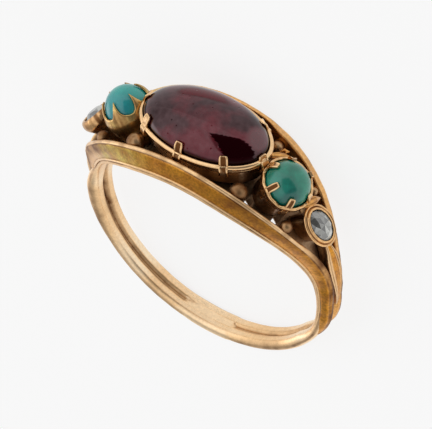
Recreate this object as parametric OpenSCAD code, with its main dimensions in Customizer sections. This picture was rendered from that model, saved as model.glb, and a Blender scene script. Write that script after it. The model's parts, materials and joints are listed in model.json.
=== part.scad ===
// Antique style gemstone ring: a garnet cabochon between two turquoise cabochons and two small
// cut diamonds, set in a row between two moulded gold rails that run down into a reeded shank.
//
// The ring is drawn in its own frame first: x runs along the row of stones, y points out of the
// finger hole through the garnet, z is the finger's axis, with the front rail on the +z side.
// rest() then lays it on its side, as it lies on a table. All lengths are in millimetres.

/* [Finger and shank] */
// Radius of the finger hole
finger_r = 8.6; // [7.5:0.1:10.5]
// Radius of each of the two round reeds of the shank
reed_r = 0.475; // [0.4:0.005:0.6]
// Height of a reed's centre line above the finger hole's wall
reed_lift = 0.43; // [0.35:0.01:0.5]
// Half the distance between the centre lines of the two reeds
reed_half_gap = 0.455; // [0.4:0.005:0.5]
// Angles, from the head, between which the plain sizing piece fills the groove
sizing_from = 168; // [150:1:175]
sizing_to = 199; // [185:1:215]

/* [Rails] */
// Half the width of the head across the outer faces of the rails
head_half_w = 3.38; // [3:0.01:4]
// Height of a rail above the finger hole's wall at the middle of the head
rail_h = 1.92; // [1.6:0.02:2.4]
// How far the tops of the rails lean toward the back
rail_lean = 0.17; // [0:0.01:0.3]
// Angle from the head's middle at which the rails have closed to the shank's width
close_angle = 80; // [74:1:86]
// Angle at which a rail's top starts to turn into a reed
morph_from = 46; // [40:1:55]
// Angle at which its finger edge starts to
edge_morph_from = 62; // [55:1:70]
// Width of the foot that each rail turns inward at the finger hole
foot_w = 1.30; // [1:0.05:1.4]
// Width of the small openings beside the strip below the stones
slot_w = 0.35; // [0.2:0.05:0.6]

/* [Garnet] */
// Length of the garnet along the row
garnet_l = 8.76; // [8:0.02:9.2]
// Width of the garnet
garnet_w = 5.16; // [4.6:0.02:5.4]
// Rise of its dome above the collet's rim
garnet_dome = 1.75; // [1.2:0.05:2.2]
// Height of the collet's rim above the finger's axis
garnet_rim = 10.8; // [10.4:0.05:11.2]
// How far the garnet stands back from the middle between the rails
garnet_back = 0.22; // [0:0.01:0.3]
// Angle of the garnet from the head's middle
garnet_angle = -0.7; // [-1:0.1:1]
// Width of a claw
claw_w = 0.6; // [0.4:0.02:0.7]

/* [Turquoises] */
// Diameter of each turquoise
turquoise_d = 3.0; // [2.6:0.05:3.2]
// Rise of its dome above its widest line
turquoise_dome = 1.4; // [1:0.05:1.7]
// Height of that line above the finger's axis
turquoise_rim = 11.05; // [10.8:0.05:11.2]
// Angle of each turquoise from the head's middle
turquoise_angle = 32.8; // [32:0.1:34]

/* [Diamonds] */
// Length of each diamond along the row
diamond_l = 2.26; // [2:0.02:2.4]
// Width of each diamond
diamond_w = 1.66; // [1.5:0.02:1.8]
// Height of its girdle above the finger's axis
diamond_girdle = 10.98; // [10.8:0.02:11.1]
// Angle of each diamond from the head's middle
diamond_angle = 50.6; // [50:0.1:52]

/* [Hidden] */

// Clearance between a stone and its collet
seat_gap = 0.03;
// Clearance between a stone's dome and the claws bent over it
claw_gap = 0.05;
// Height of the garnet's seat above the finger's axis
garnet_floor = 9.72;
// Depth of a turquoise's seat below its widest line
turquoise_seat = 0.95;
// Claws round the garnet's oval. Columns: place in degrees from the right end over the back, how
// far it reaches up the dome in degrees, thickness. The ones at the back are worn low.
garnet_claws = [[-8, 8, 0.12], [45, 20, 0.16], [90, 6, 0.10], [135, 6, 0.10], [180, 24, 0.17],
    [223, 26, 0.17], [267, 24, 0.17], [308, 23, 0.17]];
// Openings through the floor of the head. Columns: angle from its middle, length
openings = [[-26.5, 0.7], [-40, 0.4], [27.6, 0.45], [40.8, 0.4]];
// The left diamond sits higher than the right one, and the left turquoise has a taller dome
diamond_raise = 0.26;
turquoise_raise = 0.17;
shank_half_w = reed_half_gap + reed_r;
reed_centre_r = finger_r + reed_lift;
// The rails run into the ends of the shank's reeds, a little inside them
shank_start = 122.3;
reed_from = 88;
bury = 0.97;
rail_step = 5;
round_fn = 96;
// Places along a rail past its plain part
rail_ends = [90, 96, 102, 108, 114, 118, 121.5, 124, 126.5];
// By angle from the head's middle: how far each shoulder stands proud of the shank's round, how
// far the worn right shoulder has bent out of round inside, and how much wider the left one is
proud_right = [[50, 0], [62, 0.08], [72, 0.17], [82, 0.26], [95, 0.30], [118, 0.32], [121.5, 0.27],
    [124, 0.14], [126.5, -0.06]];
proud_left = [[50, 0], [58, 0.15], [65, 0.24], [75, 0.17], [85, 0.13], [96, 0.12], [108, 0.07],
    [118, 0.03], [121.5, 0.0], [124, -0.04], [126.5, -0.06]];
bent_right = [[85, 0], [96, 0.10], [104, 0.20], [112, 0.25], [117, 0.17], [121.5, 0.03], [126.5, 0.03]];
bent_left = [[85, 0], [118, 0], [121.5, 0.02], [126.5, 0.03]];
wide_left = [[60, 0], [75, 0.10], [85, 0.14], [96, 0.12], [108, 0.07], [118, 0.0], [121.5, -0.03]];
wide_right = [[60, 0], [118, 0], [121.5, -0.03]];
function proud(a) = lookup(abs(a), a > 0 ? proud_right : proud_left);
function bent(a) = lookup(abs(a), a > 0 ? bent_right : bent_left);

// Rail section. Columns: distance in from the outer face, height above the finger hole's wall,
// and the angle round a reed's section that this point turns into, from its finger side outwards.
IN = 0;
UP = 1;
TURN = 2;
bead_top = 0.48;
rail_section = [
    [0.00, -0.10, 14],
    [-0.09, 0.05, 34],
    [-0.09, 0.20, 50],
    [-0.02, 0.26, 58],
    [-0.06, 0.33, 66],
    [-0.05, 0.42, 75],
    [0.01, 0.48, 84],
    [0.00, 0.80, 102],
    [-0.01, 1.20, 122],
    [0.02, 1.55, 142],
    [0.08, 1.62, 151],
    [0.02, 1.70, 160],
    [0.04, 1.86, 170],
    [0.18, 1.92, 184],
    [0.32, 1.84, 198],
    [0.34, 1.40, 216],
    [0.46, 0.42, 250],
    [foot_w, 0.20, 300],
    [foot_w, -0.10, 340]
];
// Where a rail meets the table when the ring lies on its side
foot_in = rail_section[1][IN];
foot_up = rail_section[1][UP];

// Tilt at which the head's lower rail and the back of the shank both touch the table
reach = [finger_r + foot_up + reed_centre_r, head_half_w - foot_in - reed_half_gap];
rest_tilt = atan2(reach[1], reach[0]) - asin(reed_r / norm(reach));
rest_lift = (head_half_w - foot_in) * cos(rest_tilt) - (finger_r + foot_up) * sin(rest_tilt);
// Centre of the tilted ring between the garnet's top and the back of the shank
top_y = (garnet_rim - seat_gap) * cos(rest_tilt)
    + norm([garnet_dome * cos(rest_tilt), garnet_w / 2 * sin(rest_tilt)]);
back_y = -reed_centre_r * cos(rest_tilt) - reed_half_gap * sin(rest_tilt) - reed_r;
rest_y = -(top_y + back_y) / 2;

function smooth(t) = let (c = min(max(t, 0), 1)) c * c * (3 - 2 * c);
function rise(side) = turquoise_dome + (side < 0 ? turquoise_raise : 0);
function girdle(side) = diamond_girdle + (side < 0 ? diamond_raise : 0);
function flat(lists) = [for (l = lists) for (p = l) p];
function half_width(a) =
    shank_half_w + lookup(abs(a), a > 0 ? wide_right : wide_left)
    + (head_half_w - shank_half_w) * pow(cos(90 * min(1, pow(abs(a) / close_angle, 1.35))), 2);
// A point at an angle from the head's middle, a radius and a place along the finger
function polar(a, r, z) = [r * sin(a), r * cos(a), z];
function oval(half_l, half_w, z, n) =
    [for (i = [0:n - 1]) [half_l * cos(360 * i / n), half_w * sin(360 * i / n), z]];

// Closed solid through a list of rings that have the same number of points. A ring's points run
// anticlockwise seen from the last ring, and the first and last ring are flat.
module loft(rings) {
    m = len(rings[0]);
    n = len(rings);
    sides = [
        for (i = [0:n - 2]) for (j = [0:m - 1])
            let (a = i * m + j, b = i * m + (j + 1) % m)
                each [[a, b + m, b], [a, a + m, b + m]]
    ];
    ends = [[for (j = [0:m - 1]) j], [for (j = [m - 1:-1:0]) (n - 1) * m + j]];
    polyhedron(points = flat(rings), faces = concat(sides, ends), convexity = 10);
}

// Puts a piece on the head: its z axis points out of the finger, its x axis along the row
module on_head(a) {
    rotate([0, 0, -a]) rotate([-90, 0, 0]) children();
}

module rest() {
    translate([0, rest_y, rest_lift]) rotate([rest_tilt, 0, 0]) children();
}

// How far a section has turned from a rail's into a reed's, from an angle on
function turned(a, from) = smooth((abs(a) - from) / (reed_from - from));
// Height of the rail's own section: it falls away from the head's middle, so that the finished
// rail comes down evenly to a reed's height
function rail_top(a) =
    let (reed_top = reed_lift + reed_r, left = 1 - turned(a, morph_from))
        left <= 0 ? reed_top
        : reed_top + (rail_h - reed_top) * max(0, 1 - pow(abs(a) / reed_from, 2.3)) / left;

// One station of a rail, on the front (side 1) or the back (side -1)
function rail_ring(a, side) =
    let (
        w = half_width(a),
        tall = (rail_top(a) - bead_top) / (rail_h - bead_top),
        half_h = reed_r + (proud(a) - bent(a)) / 2,
        mid_h = reed_lift + (proud(a) + bent(a)) / 2,
        half_w = (w + 0.02) / 2,
        ring = [
            for (p = rail_section)
                let (
                    s = turned(a, p[UP] < 0.3 ? edge_morph_from : morph_from),
                    in = min(p[IN], 0.72 * w),
                    up = p[UP] > bead_top ? bead_top + (p[UP] - bead_top) * tall : p[UP],
                    lean = rail_lean * max(0, p[UP] - bead_top) / (rail_h - bead_top),
                    reed_in = half_w - half_w * sin(p[TURN]),
                    reed_up = mid_h - half_h * cos(p[TURN])
                )
                polar(
                    a,
                    finger_r + up + (reed_up - up) * s,
                    side * (w - in - (reed_in - in) * s) - lean * (1 - s)
                )
        ]
    )
    side < 0 ? ring : [for (i = [len(ring) - 1:-1:0]) ring[i]];

module rail(side) {
    stations = concat([for (i = [len(rail_ends) - 1:-1:0]) -rail_ends[i]],
        [for (a = [-85:rail_step:85]) a], rail_ends);
    loft([for (a = stations) rail_ring(a, side)]);
}

// Strip of metal below the stones, between the feet of the rails
module strip() {
    difference() {
        loft([
            for (a = [-52:6.5:52])
                let (half = half_width(a) - foot_w + 0.1)
                [for (p = [[-1, -0.1], [-1, 0.13], [1, 0.13], [1, -0.1]])
                    polar(a, finger_r + p[1], p[0] * half)]
        ]);
        for (o = openings, side = [-1, 1])
            rotate([0, 0, -o[0]])
                translate([0, finger_r, side * (half_width(o[0]) - foot_w - slot_w / 2)])
                    cube([o[1], 1, slot_w], center = true);
    }
}

// Floor between the rails below a diamond, with the leaf that tapers down it into the groove.
// Columns: angle, floor's half width, its underside and top, leaf's half width, leaf's top.
shoulder_rows = [
    [48.6, 0.45, 8.52, 9.03, 0.30, 10.10],
    [52.0, half_width(52) - 0.28, 8.52, 9.03, 0.26, 10.16],
    [59.3, half_width(59.3) - 0.28, 8.52, 9.04, 0.22, 10.28],
    [62.6, half_width(62.6) - 0.28, 8.52, 9.04, 0.38, 10.30],
    [66.2, half_width(66.2) - 0.28, 8.52, 9.05, 0.48, 10.22],
    [69.4, half_width(69.4) - 0.28, 8.52, 9.05, 0.48, 10.13],
    [72.8, half_width(72.8) - 0.28, 8.54, 9.06, 0.43, 10.03],
    [76.4, half_width(76.4) - 0.28, 8.84, 9.07, 0.34, 9.92],
    [81.0, 0.60, 8.88, 9.10, 0.22, 9.76],
    [86.0, 0.45, 8.92, 9.14, 0.11, 9.52],
    [91.0, 0.30, 8.95, 9.18, 0.04, 9.28],
    [104.0, 0.30, 9.04, 9.28, 0.03, 9.32],
    [115.0, 0.30, 9.04, 9.26, 0.03, 9.30],
    [124.8, 0.30, 8.93, 9.10, 0.03, 9.13]
];
function shoulder_ring(row) =
    let (
        half = [
            [row[1], row[2]],
            [row[1], row[3]],
            [row[4] + 0.02, row[3]],
            [row[4], row[5] - (row[5] - row[3]) * 0.15],
            [row[4] * 0.55, row[5] - (row[5] - row[3]) * 0.03]
        ]
    )
    concat(
        [for (p = half) polar(row[0], p[1], -p[0])],
        [polar(row[0], row[5], 0)],
        [for (i = [4:-1:0]) polar(row[0], half[i][1], half[i][0])]
    );

module shoulder() {
    loft([for (row = shoulder_rows) shoulder_ring(row)]);
}

module shank() {
    for (side = [-1, 1])
        rotate([0, 0, 90 - (360 - shank_start)])
            rotate_extrude(angle = 360 - 2 * shank_start, $fn = round_fn)
                translate([reed_centre_r, side * reed_half_gap])
                    circle(r = reed_r, $fn = 32);
    // Plain piece let in where the ring was sized
    rotate([0, 0, 90 - sizing_to])
        rotate_extrude(angle = sizing_to - sizing_from, $fn = round_fn)
            translate([finger_r - 0.1, -reed_half_gap])
                square([reed_lift + reed_r + 0.08, 2 * reed_half_gap]);
}

module garnet_collet() {
    l = garnet_l / 2 + seat_gap;
    w = garnet_w / 2 + seat_gap;
    n = 48;
    loft([
        oval(l - 0.30, w - 0.16, finger_r + 0.13, n),
        oval(l + 0.04, w + 0.08, garnet_rim - 0.52, n),
        oval(l + 0.08, w + 0.10, garnet_rim - 0.38, n),
        oval(l + 0.19, w + 0.19, garnet_rim - 0.18, n),
        oval(l + 0.15, w + 0.15, garnet_rim, n),
        oval(l, w, garnet_rim, n),
        oval(l - 0.16, w - 0.16, garnet_floor, n)
    ]);
}

// A claw bent over an oval dome: a bar from below the rim, up over it and on along the dome.
// It is drawn in the plane of its own middle line, which cuts the dome in a smaller ellipse.
module claw(half_l, half_w, dome, rim, turn, width, thick, over) {
    facing = atan2(half_l * sin(turn), half_w * cos(turn));
    place = [half_l * cos(turn), half_w * sin(turn), rim];
    slope = cos(turn) * cos(facing) / half_l + sin(turn) * sin(facing) / half_w;
    bend = pow(cos(facing) / half_l, 2) + pow(sin(facing) / half_w, 2);
    deep = slope / bend;
    rise = dome * slope / sqrt(bend);
    over_steps = [0, over * 0.35, over * 0.7, over];
    lean = [0, 0, for (e = over_steps) atan2(sin(e) * deep, cos(e) * rise)];
    foot = [[0.10, -0.62], [0.10, -0.12]];
    arc = [
        for (i = [0:3])
            let (e = over_steps[i], v = lean[i + 2])
                [deep * (cos(e) - 1) + claw_gap * cos(v), rise * sin(e) + claw_gap * sin(v)]
    ];
    path = concat(foot, arc);
    rings = [
        for (i = [0:5])
            let (
                half = width / 2 * (i == 5 ? 0.75 : 1),
                inner = path[i],
                outer = inner + thick * [cos(lean[i]), sin(lean[i])]
            )
            [
                [outer[0], half, outer[1]],
                [inner[0], half, inner[1]],
                [inner[0], -half, inner[1]],
                [outer[0], -half, outer[1]]
            ]
    ];
    translate(place) rotate([0, 0, facing]) loft(rings);
}

module garnet_setting() {
    garnet_collet();
    for (c = garnet_claws)
        claw(garnet_l / 2, garnet_w / 2, garnet_dome, garnet_rim - seat_gap, c[0], claw_w, c[2], c[1]);
}

// Cup with a flared ridge and a lip that closes on the stone, six claws raised out of the lip
module turquoise_setting(side) {
    r = turquoise_d / 2;
    n = 72;
    wall = 0.10;
    thick = 0.16;
    low = turquoise_rim - 0.62;
    // The left cup is taller, with wide pointed claws; the right one has narrow claws
    lip = side < 0 ? 22 : 8;
    tip = side < 0 ? 46 : 35;
    dome = rise(side);
    share = side < 0
        ? [[0, 1], [5, 0.72], [10, 0.42], [15, 0.22], [20, 0.10], [25, 0.03], [30, 0]]
        : [[0, 1], [5, 0.95], [10, 0.30], [15, 0.06], [20, 0], [30, 0]];
    // Angle up the dome that the metal reaches, at an angle round the cup
    function reach_up(a) = lip + (tip - lip) * lookup(abs(a - 60 * round(a / 60)), share);
    function over(part, off) = [
        for (i = [0:n - 1])
            let (a = 360 * i / n, e = reach_up(a) * part)
                [
                    (r + off) * cos(e) * cos(a),
                    (r + off) * cos(e) * sin(a),
                    turquoise_rim + (dome + off) * sin(e)
                ]
    ];
    rotate([0, 0, side < 0 ? 10 : -4]) loft([
        oval(r - 0.25, r - 0.25, finger_r + 0.09, n),
        oval(r + 0.06, r + 0.06, low, n),
        oval(r + 0.24, r + 0.24, turquoise_rim - 0.16, n),
        oval(r + 0.22, r + 0.22, turquoise_rim - 0.06, n),
        over(0.45, claw_gap + thick),
        over(0.8, claw_gap + thick),
        over(1, claw_gap + wall),
        over(1, claw_gap),
        over(0.7, claw_gap),
        over(0.35, claw_gap),
        oval(r + seat_gap, r + seat_gap, low, n),
        oval(r - 0.12, r - 0.12, turquoise_rim - turquoise_seat, n)
    ]);
}

module diamond_setting(side) {
    l = diamond_l / 2 + seat_gap;
    w = diamond_w / 2 + seat_gap;
    n = 32;
    top = girdle(side);
    loft([
        oval(l - 0.20, w - 0.06, finger_r + 0.07, n),
        oval(l - 0.10, w - 0.02, top - 0.76, n),
        oval(l + 0.12, w + 0.14, top - 0.36, n),
        oval(l + 0.30, w + 0.28, top - 0.16, n),
        oval(l + 0.32, w + 0.30, top - 0.06, n),
        oval(l + 0.25, w + 0.24, top + 0.02, n),
        oval(l + 0.13, w + 0.13, top + 0.00, n),
        oval(l + 0.02, w + 0.02, top + 0.09, n),
        oval(l - 0.05, w - 0.05, top + 0.09, n),
        oval(l, w, top - 0.02, n),
        oval(l, w, top - 0.12, n),
        oval(l - 0.55, w - 0.40, top - 0.86, n)
    ]);
}

module granules() {
    // Columns: angle from the head's middle, height above the finger's axis, place, radius. They
    // bite into the rails, which lean to the back at that height.
    rows = [[22.3, 10.15, 2.33, 0.57], [42.9, 10.22, 1.75, 0.40]];
    for (row = rows, side = [-1, 1], face = [-1, 1])
        translate(polar(side * row[0], row[1], face * row[2] - 0.13)) sphere(r = row[3], $fn = 32);
}

module band() {
    difference() {
        union() {
            rail(-1);
            rail(1);
            strip();
            for (side = [0, 1]) mirror([side, 0, 0]) shoulder();
            shank();
        }
        cylinder(r = finger_r, h = 4 * head_half_w, center = true, $fn = round_fn);
    }
}

module ring_mount() {
    color("goldenrod") rest() {
        union() {
            band();
            granules();
        }
        union() {
            translate([0, 0, -garnet_back]) on_head(garnet_angle) garnet_setting();
            for (side = [-1, 1]) {
                on_head(side * turquoise_angle) turquoise_setting(side);
                on_head(side * diamond_angle) diamond_setting(side);
            }
        }
    }
}

// Round or oval cabochon: a true half ellipsoid over a base that tapers into the collet
module cabochon(half_l, half_w, dome, rim, base_z) {
    depth = rim - base_z;
    scale([half_l, half_w, 1]) union() {
        translate([0, 0, rim]) intersection() {
            scale([1, 1, dome]) sphere(r = 1, $fn = round_fn);
            translate([-2, -2, 0]) cube([4, 4, 4]);
        }
        translate([0, 0, base_z]) cylinder(r1 = 0.88, r2 = 1, h = depth, $fn = round_fn);
    }
}

module garnet_cabochon() {
    color("darkred") rest() translate([0, 0, -garnet_back]) on_head(garnet_angle)
        cabochon(garnet_l / 2, garnet_w / 2, garnet_dome, garnet_rim - seat_gap,
            garnet_floor + seat_gap);
}

module turquoise(side) {
    r = turquoise_d / 2;
    color("mediumturquoise") rest() on_head(side * turquoise_angle)
        cabochon(r, r, rise(side), turquoise_rim, turquoise_rim - turquoise_seat + seat_gap);
}

// Old cut diamond: an eight sided table, eight kites and eight halves on the crown, a sixteen
// sided girdle, and a pavilion of eight facets down to a small flat culet
module diamond(side) {
    l = diamond_l / 2;
    w = diamond_w / 2;
    top = girdle(side);
    color("gainsboro") rest() on_head(side * diamond_angle)
        loft([
            oval(l * 0.12, w * 0.12, top - 0.82, 16),
            oval(l, w, top - 0.10, 16),
            oval(l, w, top - 0.03, 16),
            oval(l * 0.86, w * 0.86, top + 0.12, 16),
            oval(l * 0.52, w * 0.52, top + 0.36, 16)
        ]);
}

ring_mount();
garnet_cabochon();
turquoise(-1);  // turquoise_left
turquoise(1);  // turquoise_right
diamond(-1);  // diamond_left
diamond(1);  // diamond_right
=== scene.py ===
"""Antique gemstone ring on a pale table: a garnet cabochon between two turquoises and two old cut
diamonds, set between moulded gold rails that run down into a reeded shank.

Every piece is drawn in the ring's own frame, in millimetres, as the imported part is: x runs along the
row of stones, y points out of the finger hole through the garnet, z is the finger's axis with the
front rail on its positive side. laid() puts such points on the table, in metres. An angle is
measured round the finger from the middle of the head, positive to the right.
"""

import json
import math
from functools import partial

import bmesh
import bpy
import numpy as np
from mathutils import Matrix, Vector


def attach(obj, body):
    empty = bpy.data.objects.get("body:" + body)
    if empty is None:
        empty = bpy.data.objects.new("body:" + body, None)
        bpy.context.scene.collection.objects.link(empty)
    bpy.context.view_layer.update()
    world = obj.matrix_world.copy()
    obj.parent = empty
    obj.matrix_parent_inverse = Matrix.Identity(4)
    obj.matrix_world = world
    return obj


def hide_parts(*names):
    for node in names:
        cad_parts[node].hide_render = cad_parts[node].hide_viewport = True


bl_info = {
    "name": "Antique gemstone ring",
    "version": (1, 0, 0),
    "blender": (4, 5, 0),
    "location": "View3D > Sidebar > Ring",
    "description": "Builds a gold ring with a garnet, two turquoises and two diamonds",
    "category": "Add Mesh",
}

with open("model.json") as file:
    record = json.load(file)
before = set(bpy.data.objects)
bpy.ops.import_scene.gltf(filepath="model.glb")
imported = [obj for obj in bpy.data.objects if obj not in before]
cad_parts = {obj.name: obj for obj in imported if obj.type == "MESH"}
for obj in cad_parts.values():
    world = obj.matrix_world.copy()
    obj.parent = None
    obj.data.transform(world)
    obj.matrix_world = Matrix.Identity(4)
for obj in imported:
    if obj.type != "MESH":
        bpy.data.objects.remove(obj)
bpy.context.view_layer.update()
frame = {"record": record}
BORE = next(m for m in frame["record"]["mounts"] if m["name"] == "finger_bore")
FINGER_R = BORE["dims"]["r_mm"]
MM = 0.001
LEFT, RIGHT = -1, 1
FRONT, BACK = 1, -1
SIDES = ((LEFT, "left"), (RIGHT, "right"))
FACES = ((FRONT, "front"), (BACK, "back"))


# Colours


def linear(hex_colour):
    """An sRGB hex colour as linear red, green and blue."""
    parts = [int(hex_colour[i : i + 2], 16) / 255 for i in (1, 3, 5)]
    return tuple(c / 12.92 if c <= 0.04045 else ((c + 0.055) / 1.055) ** 2.4 for c in parts)


# What a user would change


def length(name, about, millimetres):
    """A size in millimetres."""
    return bpy.props.FloatProperty(name=name, description=about, default=millimetres, min=0, unit="NONE")


def colour(name, about, hex_colour):
    return bpy.props.FloatVectorProperty(
        name=name, description=about, subtype="COLOR", size=3, min=0, max=1, default=linear(hex_colour)
    )


class RingSizes(bpy.types.PropertyGroup):
    """Sizes of the gold work and the stones, in millimetres."""

    reed_radius: length("Reed radius", "Radius of each reed of the shank", 0.475)
    reed_lift: length("Reed lift", "Height of a reed's centre line above the finger hole", 0.43)
    reed_half_gap: length("Reed half gap", "Half the distance between the reeds' centre lines", 0.455)
    head_half_width: length("Head half width", "Half the width of the head over the rails", 3.38)
    rail_height: length("Rail height", "Height of a rail above the finger hole at the middle", 1.92)
    rail_lean: length("Rail lean", "How far the rails' tops lean to the back", 0.17)
    close_angle: bpy.props.FloatProperty(
        name="Closing angle",
        description="Angle at which the rails have closed to the shank's width",
        default=math.radians(80),
        subtype="ANGLE",
    )
    claw_width: length("Claw width", "Width of a claw of the garnet", 0.58)
    claw_thickness: length("Claw thickness", "Thickness of a claw of the garnet", 0.17)
    garnet_length: length("Garnet length", "Length of the garnet along the row", 8.76)
    garnet_width: length("Garnet width", "Width of the garnet across the row", 5.16)
    garnet_dome: length("Garnet dome", "Rise of the garnet above its rim", 1.75)
    turquoise_diameter: length("Turquoise diameter", "Diameter of each turquoise", 3.0)
    turquoise_dome: length("Turquoise dome", "Rise of the right turquoise above its rim", 1.4)
    diamond_length: length("Diamond length", "Length of each diamond along the row", 2.26)
    diamond_width: length("Diamond width", "Width of each diamond across the row", 1.66)


class RingColours(bpy.types.PropertyGroup):
    """Colours of the metal, the stones and the table."""

    worn_gold: colour("Worn gold", "Bright gold of the claws and the edges", "#F0C795")
    satin_gold: colour("Satin gold", "Pale scratched gold of the shank", "#F6CE9C")
    floor_gold: colour("Floor gold", "Dull gold of the floors, as cast", "#B59A7C")
    rail_gold: colour("Rail gold", "Yellow gold of the rails' faces", "#E49C34")
    tarnish: colour("Tarnish", "Dark brown film in the recesses", "#6C4424")
    garnet: colour("Garnet", "Body colour of the garnet", "#130204")
    turquoise_left: colour("Left turquoise", "Body colour of the bluer turquoise", "#178A86")
    turquoise_right: colour("Right turquoise", "Body colour of the greener turquoise", "#04624F")
    diamond: colour("Diamond", "Light grey of the old cut diamonds", "#E4E4DC")
    table: colour("Table", "Colour of the table under the ring", "#F4F4F4")


def sizes():
    return bpy.context.scene.ring_sizes


def colours():
    return bpy.context.scene.ring_colours


# Points in the ring's frame


def polar(angle, radius, across):
    """Points at angles in degrees round the finger, radii and places along the finger's axis."""
    turn = np.radians(angle)
    return np.stack(np.broadcast_arrays(radius * np.sin(turn), radius * np.cos(turn), across), -1)


def on_head(angle, points, back=0.0):
    """Points drawn with x along the row, y toward the front and z out of the finger, at an angle."""
    points = np.asarray(points, float)
    turn = math.radians(angle)
    along = np.array([math.cos(turn), -math.sin(turn), 0])
    out = np.array([math.sin(turn), math.cos(turn), 0])
    return points[..., :1] * along + (points[..., 1:2] - back) * (0, 0, 1) + points[..., 2:3] * out


def laid(points):
    """Points of the ring's frame, in millimetres, where they lie on the table, in metres."""
    axis = Vector(BORE["axis"]).normalized()
    basis = np.array([(1, 0, 0), axis.cross(Vector((1, 0, 0))), axis])
    return np.asarray(points, float) * MM @ basis + np.array(BORE["pos_m"])


def wrapped(angle):
    """An angle in degrees, from -180 to 180."""
    return (angle + 180) % 360 - 180


def smooth(t):
    """A step from 0 to 1 that starts and ends softly, for t from 0 to 1."""
    t = np.clip(t, 0, 1)
    return t * t * (3 - 2 * t)


def rounded(rows, turn_over=None):
    """A closed table of points with a smooth curve of four points through each step. turn_over is
    what each column grows by in one full round."""
    rows = np.asarray(rows, float)
    n, per = len(rows), 4
    step = np.zeros(rows.shape[1]) if turn_over is None else np.asarray(turn_over, float)
    index = np.arange(-1, n + 2)
    around = rows[index % n] + step * (index // n)[:, None]
    t = (np.arange(per) / per)[None, :, None]
    p0, p1, p2, p3 = (around[i : i + n][:, None, :] for i in range(4))
    bend = (2 * p0 - 5 * p1 + 4 * p2 - p3) * t**2 + (3 * p1 - p0 - 3 * p2 + p3) * t**3
    return ((2 * p1 + (p2 - p0) * t + bend) / 2).reshape(n * per, -1)


def wander(values, seed, wave):
    """Smooth handmade unevenness from -1 to 1 along values, with waves of about that length."""
    draw = np.random.default_rng(seed)
    total = sum(np.sin(2 * np.pi * values * k / (2.7 * wave) + draw.uniform(0, 6.28)) for k in range(1, 6))
    return np.clip(total / 3.2, -1, 1)


def columns(rows, at):
    """The columns of a table after its first, read at values of that first column."""
    rows = np.array(rows)
    return [np.interp(at, rows[:, 0], column) for column in rows.T[1:]]


# Meshes


class Shape:
    """Closed lofts that make one object. film says how tarnished a point is, old how yellow."""

    def __init__(self):
        self.points, self.faces, self.film, self.old = [], [], [], []

    def add_points(self, points, film=0.0, old=0.0):
        start = sum(len(p) for p in self.points)
        self.points.append(points.reshape(-1, 3))
        for store, value in ((self.film, film), (self.old, old)):
            store.append(np.broadcast_to(value, points.shape[:-1]).reshape(-1))
        return start

    def loft(self, rings, film=0.0, old=0.0, round_trip=False):
        """Skin over rings of points. round_trip joins the last ring to the first, otherwise both
        ends are closed."""
        n, m = rings.shape[:2]
        start = self.add_points(rings, film, old)
        i = np.arange(n if round_trip else n - 1)[:, None]
        j = np.arange(m)[None, :]
        corners = [i * m + j, i * m + (j + 1) % m, (i + 1) % n * m + (j + 1) % m, (i + 1) % n * m + j]
        self.faces.extend((np.stack(corners, -1).reshape(-1, 4) + start).tolist())
        for row in () if round_trip else (0, n - 1):
            middle = self.add_points(rings[row].mean(0)[None])
            ring = start + row * m
            self.faces.extend([ring + k, ring + (k + 1) % m, middle] for k in range(m))
        return self

    def build(self, name, material, slot="gold", cad_node="ring_mount"):
        mesh = bpy.data.meshes.new(name)
        mesh.from_pydata(laid(np.concatenate(self.points)).tolist(), [], self.faces)
        for label, values in (("film", self.film), ("old", self.old)):
            attribute = mesh.attributes.new(label, "FLOAT", "POINT")
            attribute.data.foreach_set("value", np.concatenate(values).astype(np.float32))
        mesh.polygons.foreach_set("use_smooth", np.ones(len(mesh.polygons), bool))
        mesh.materials.append(material)
        finish_piece(name, mesh, cad_node)


def finish_piece(name, mesh, cad_node="ring_mount"):
    """An object of a mesh that lies in place, with outward faces, in the stead of a CAD node."""
    work = bmesh.new()
    work.from_mesh(mesh)
    bmesh.ops.remove_doubles(work, verts=work.verts, dist=1e-8)
    bmesh.ops.recalc_face_normals(work, faces=work.faces)
    work.to_mesh(mesh)
    work.free()
    made = bpy.data.objects.new(name, mesh)
    bpy.context.scene.collection.objects.link(made)
    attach(made, "root")
    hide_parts(cad_node)


def add(tree, kind, inputs=(), out=0, **settings):
    """A new node's output. Its inputs are given in order, or by name or number, as values or as
    other nodes' outputs. A colour may go without its alpha."""
    node = tree.nodes.new(kind)
    for key, value in settings.items():
        setattr(node, key, value)
    for key, value in inputs.items() if isinstance(inputs, dict) else enumerate(inputs):
        socket = node.inputs[key]
        if isinstance(value, bpy.types.NodeSocket):
            tree.links.new(value, socket)
        elif socket.type == "RGBA" and len(value) == 3:
            socket.default_value = (*value, 1)
        else:
            socket.default_value = value
    return node.outputs[out] if node.outputs else None


def new_tree(name, inputs):
    """A tree of geometry nodes, whose inputs are named with their kind or their default value. Also
    the function that adds a node to it, and its inputs."""
    tree = bpy.data.node_groups.new(name, "GeometryNodeTree")
    for label, value in inputs.items():
        kind = value if isinstance(value, str) else {float: "Float", int: "Int"}[type(value)]
        socket = tree.interface.new_socket(label, in_out="INPUT", socket_type="NodeSocket" + kind)
        if kind != value:
            socket.default_value = value
    tree.interface.new_socket("Piece", in_out="OUTPUT", socket_type="NodeSocketGeometry")
    return tree, partial(add, tree), add(tree, "NodeGroupInput").node.outputs


def close_tree(tree, geometry, material):
    """Ends a tree with plain geometry and its material."""
    real = add(tree, "GeometryNodeRealizeInstances", (geometry,))
    painted = add(tree, "GeometryNodeSetMaterial", {"Geometry": real, "Material": material})
    add(tree, "NodeGroupOutput", (painted,))
    return tree


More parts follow.
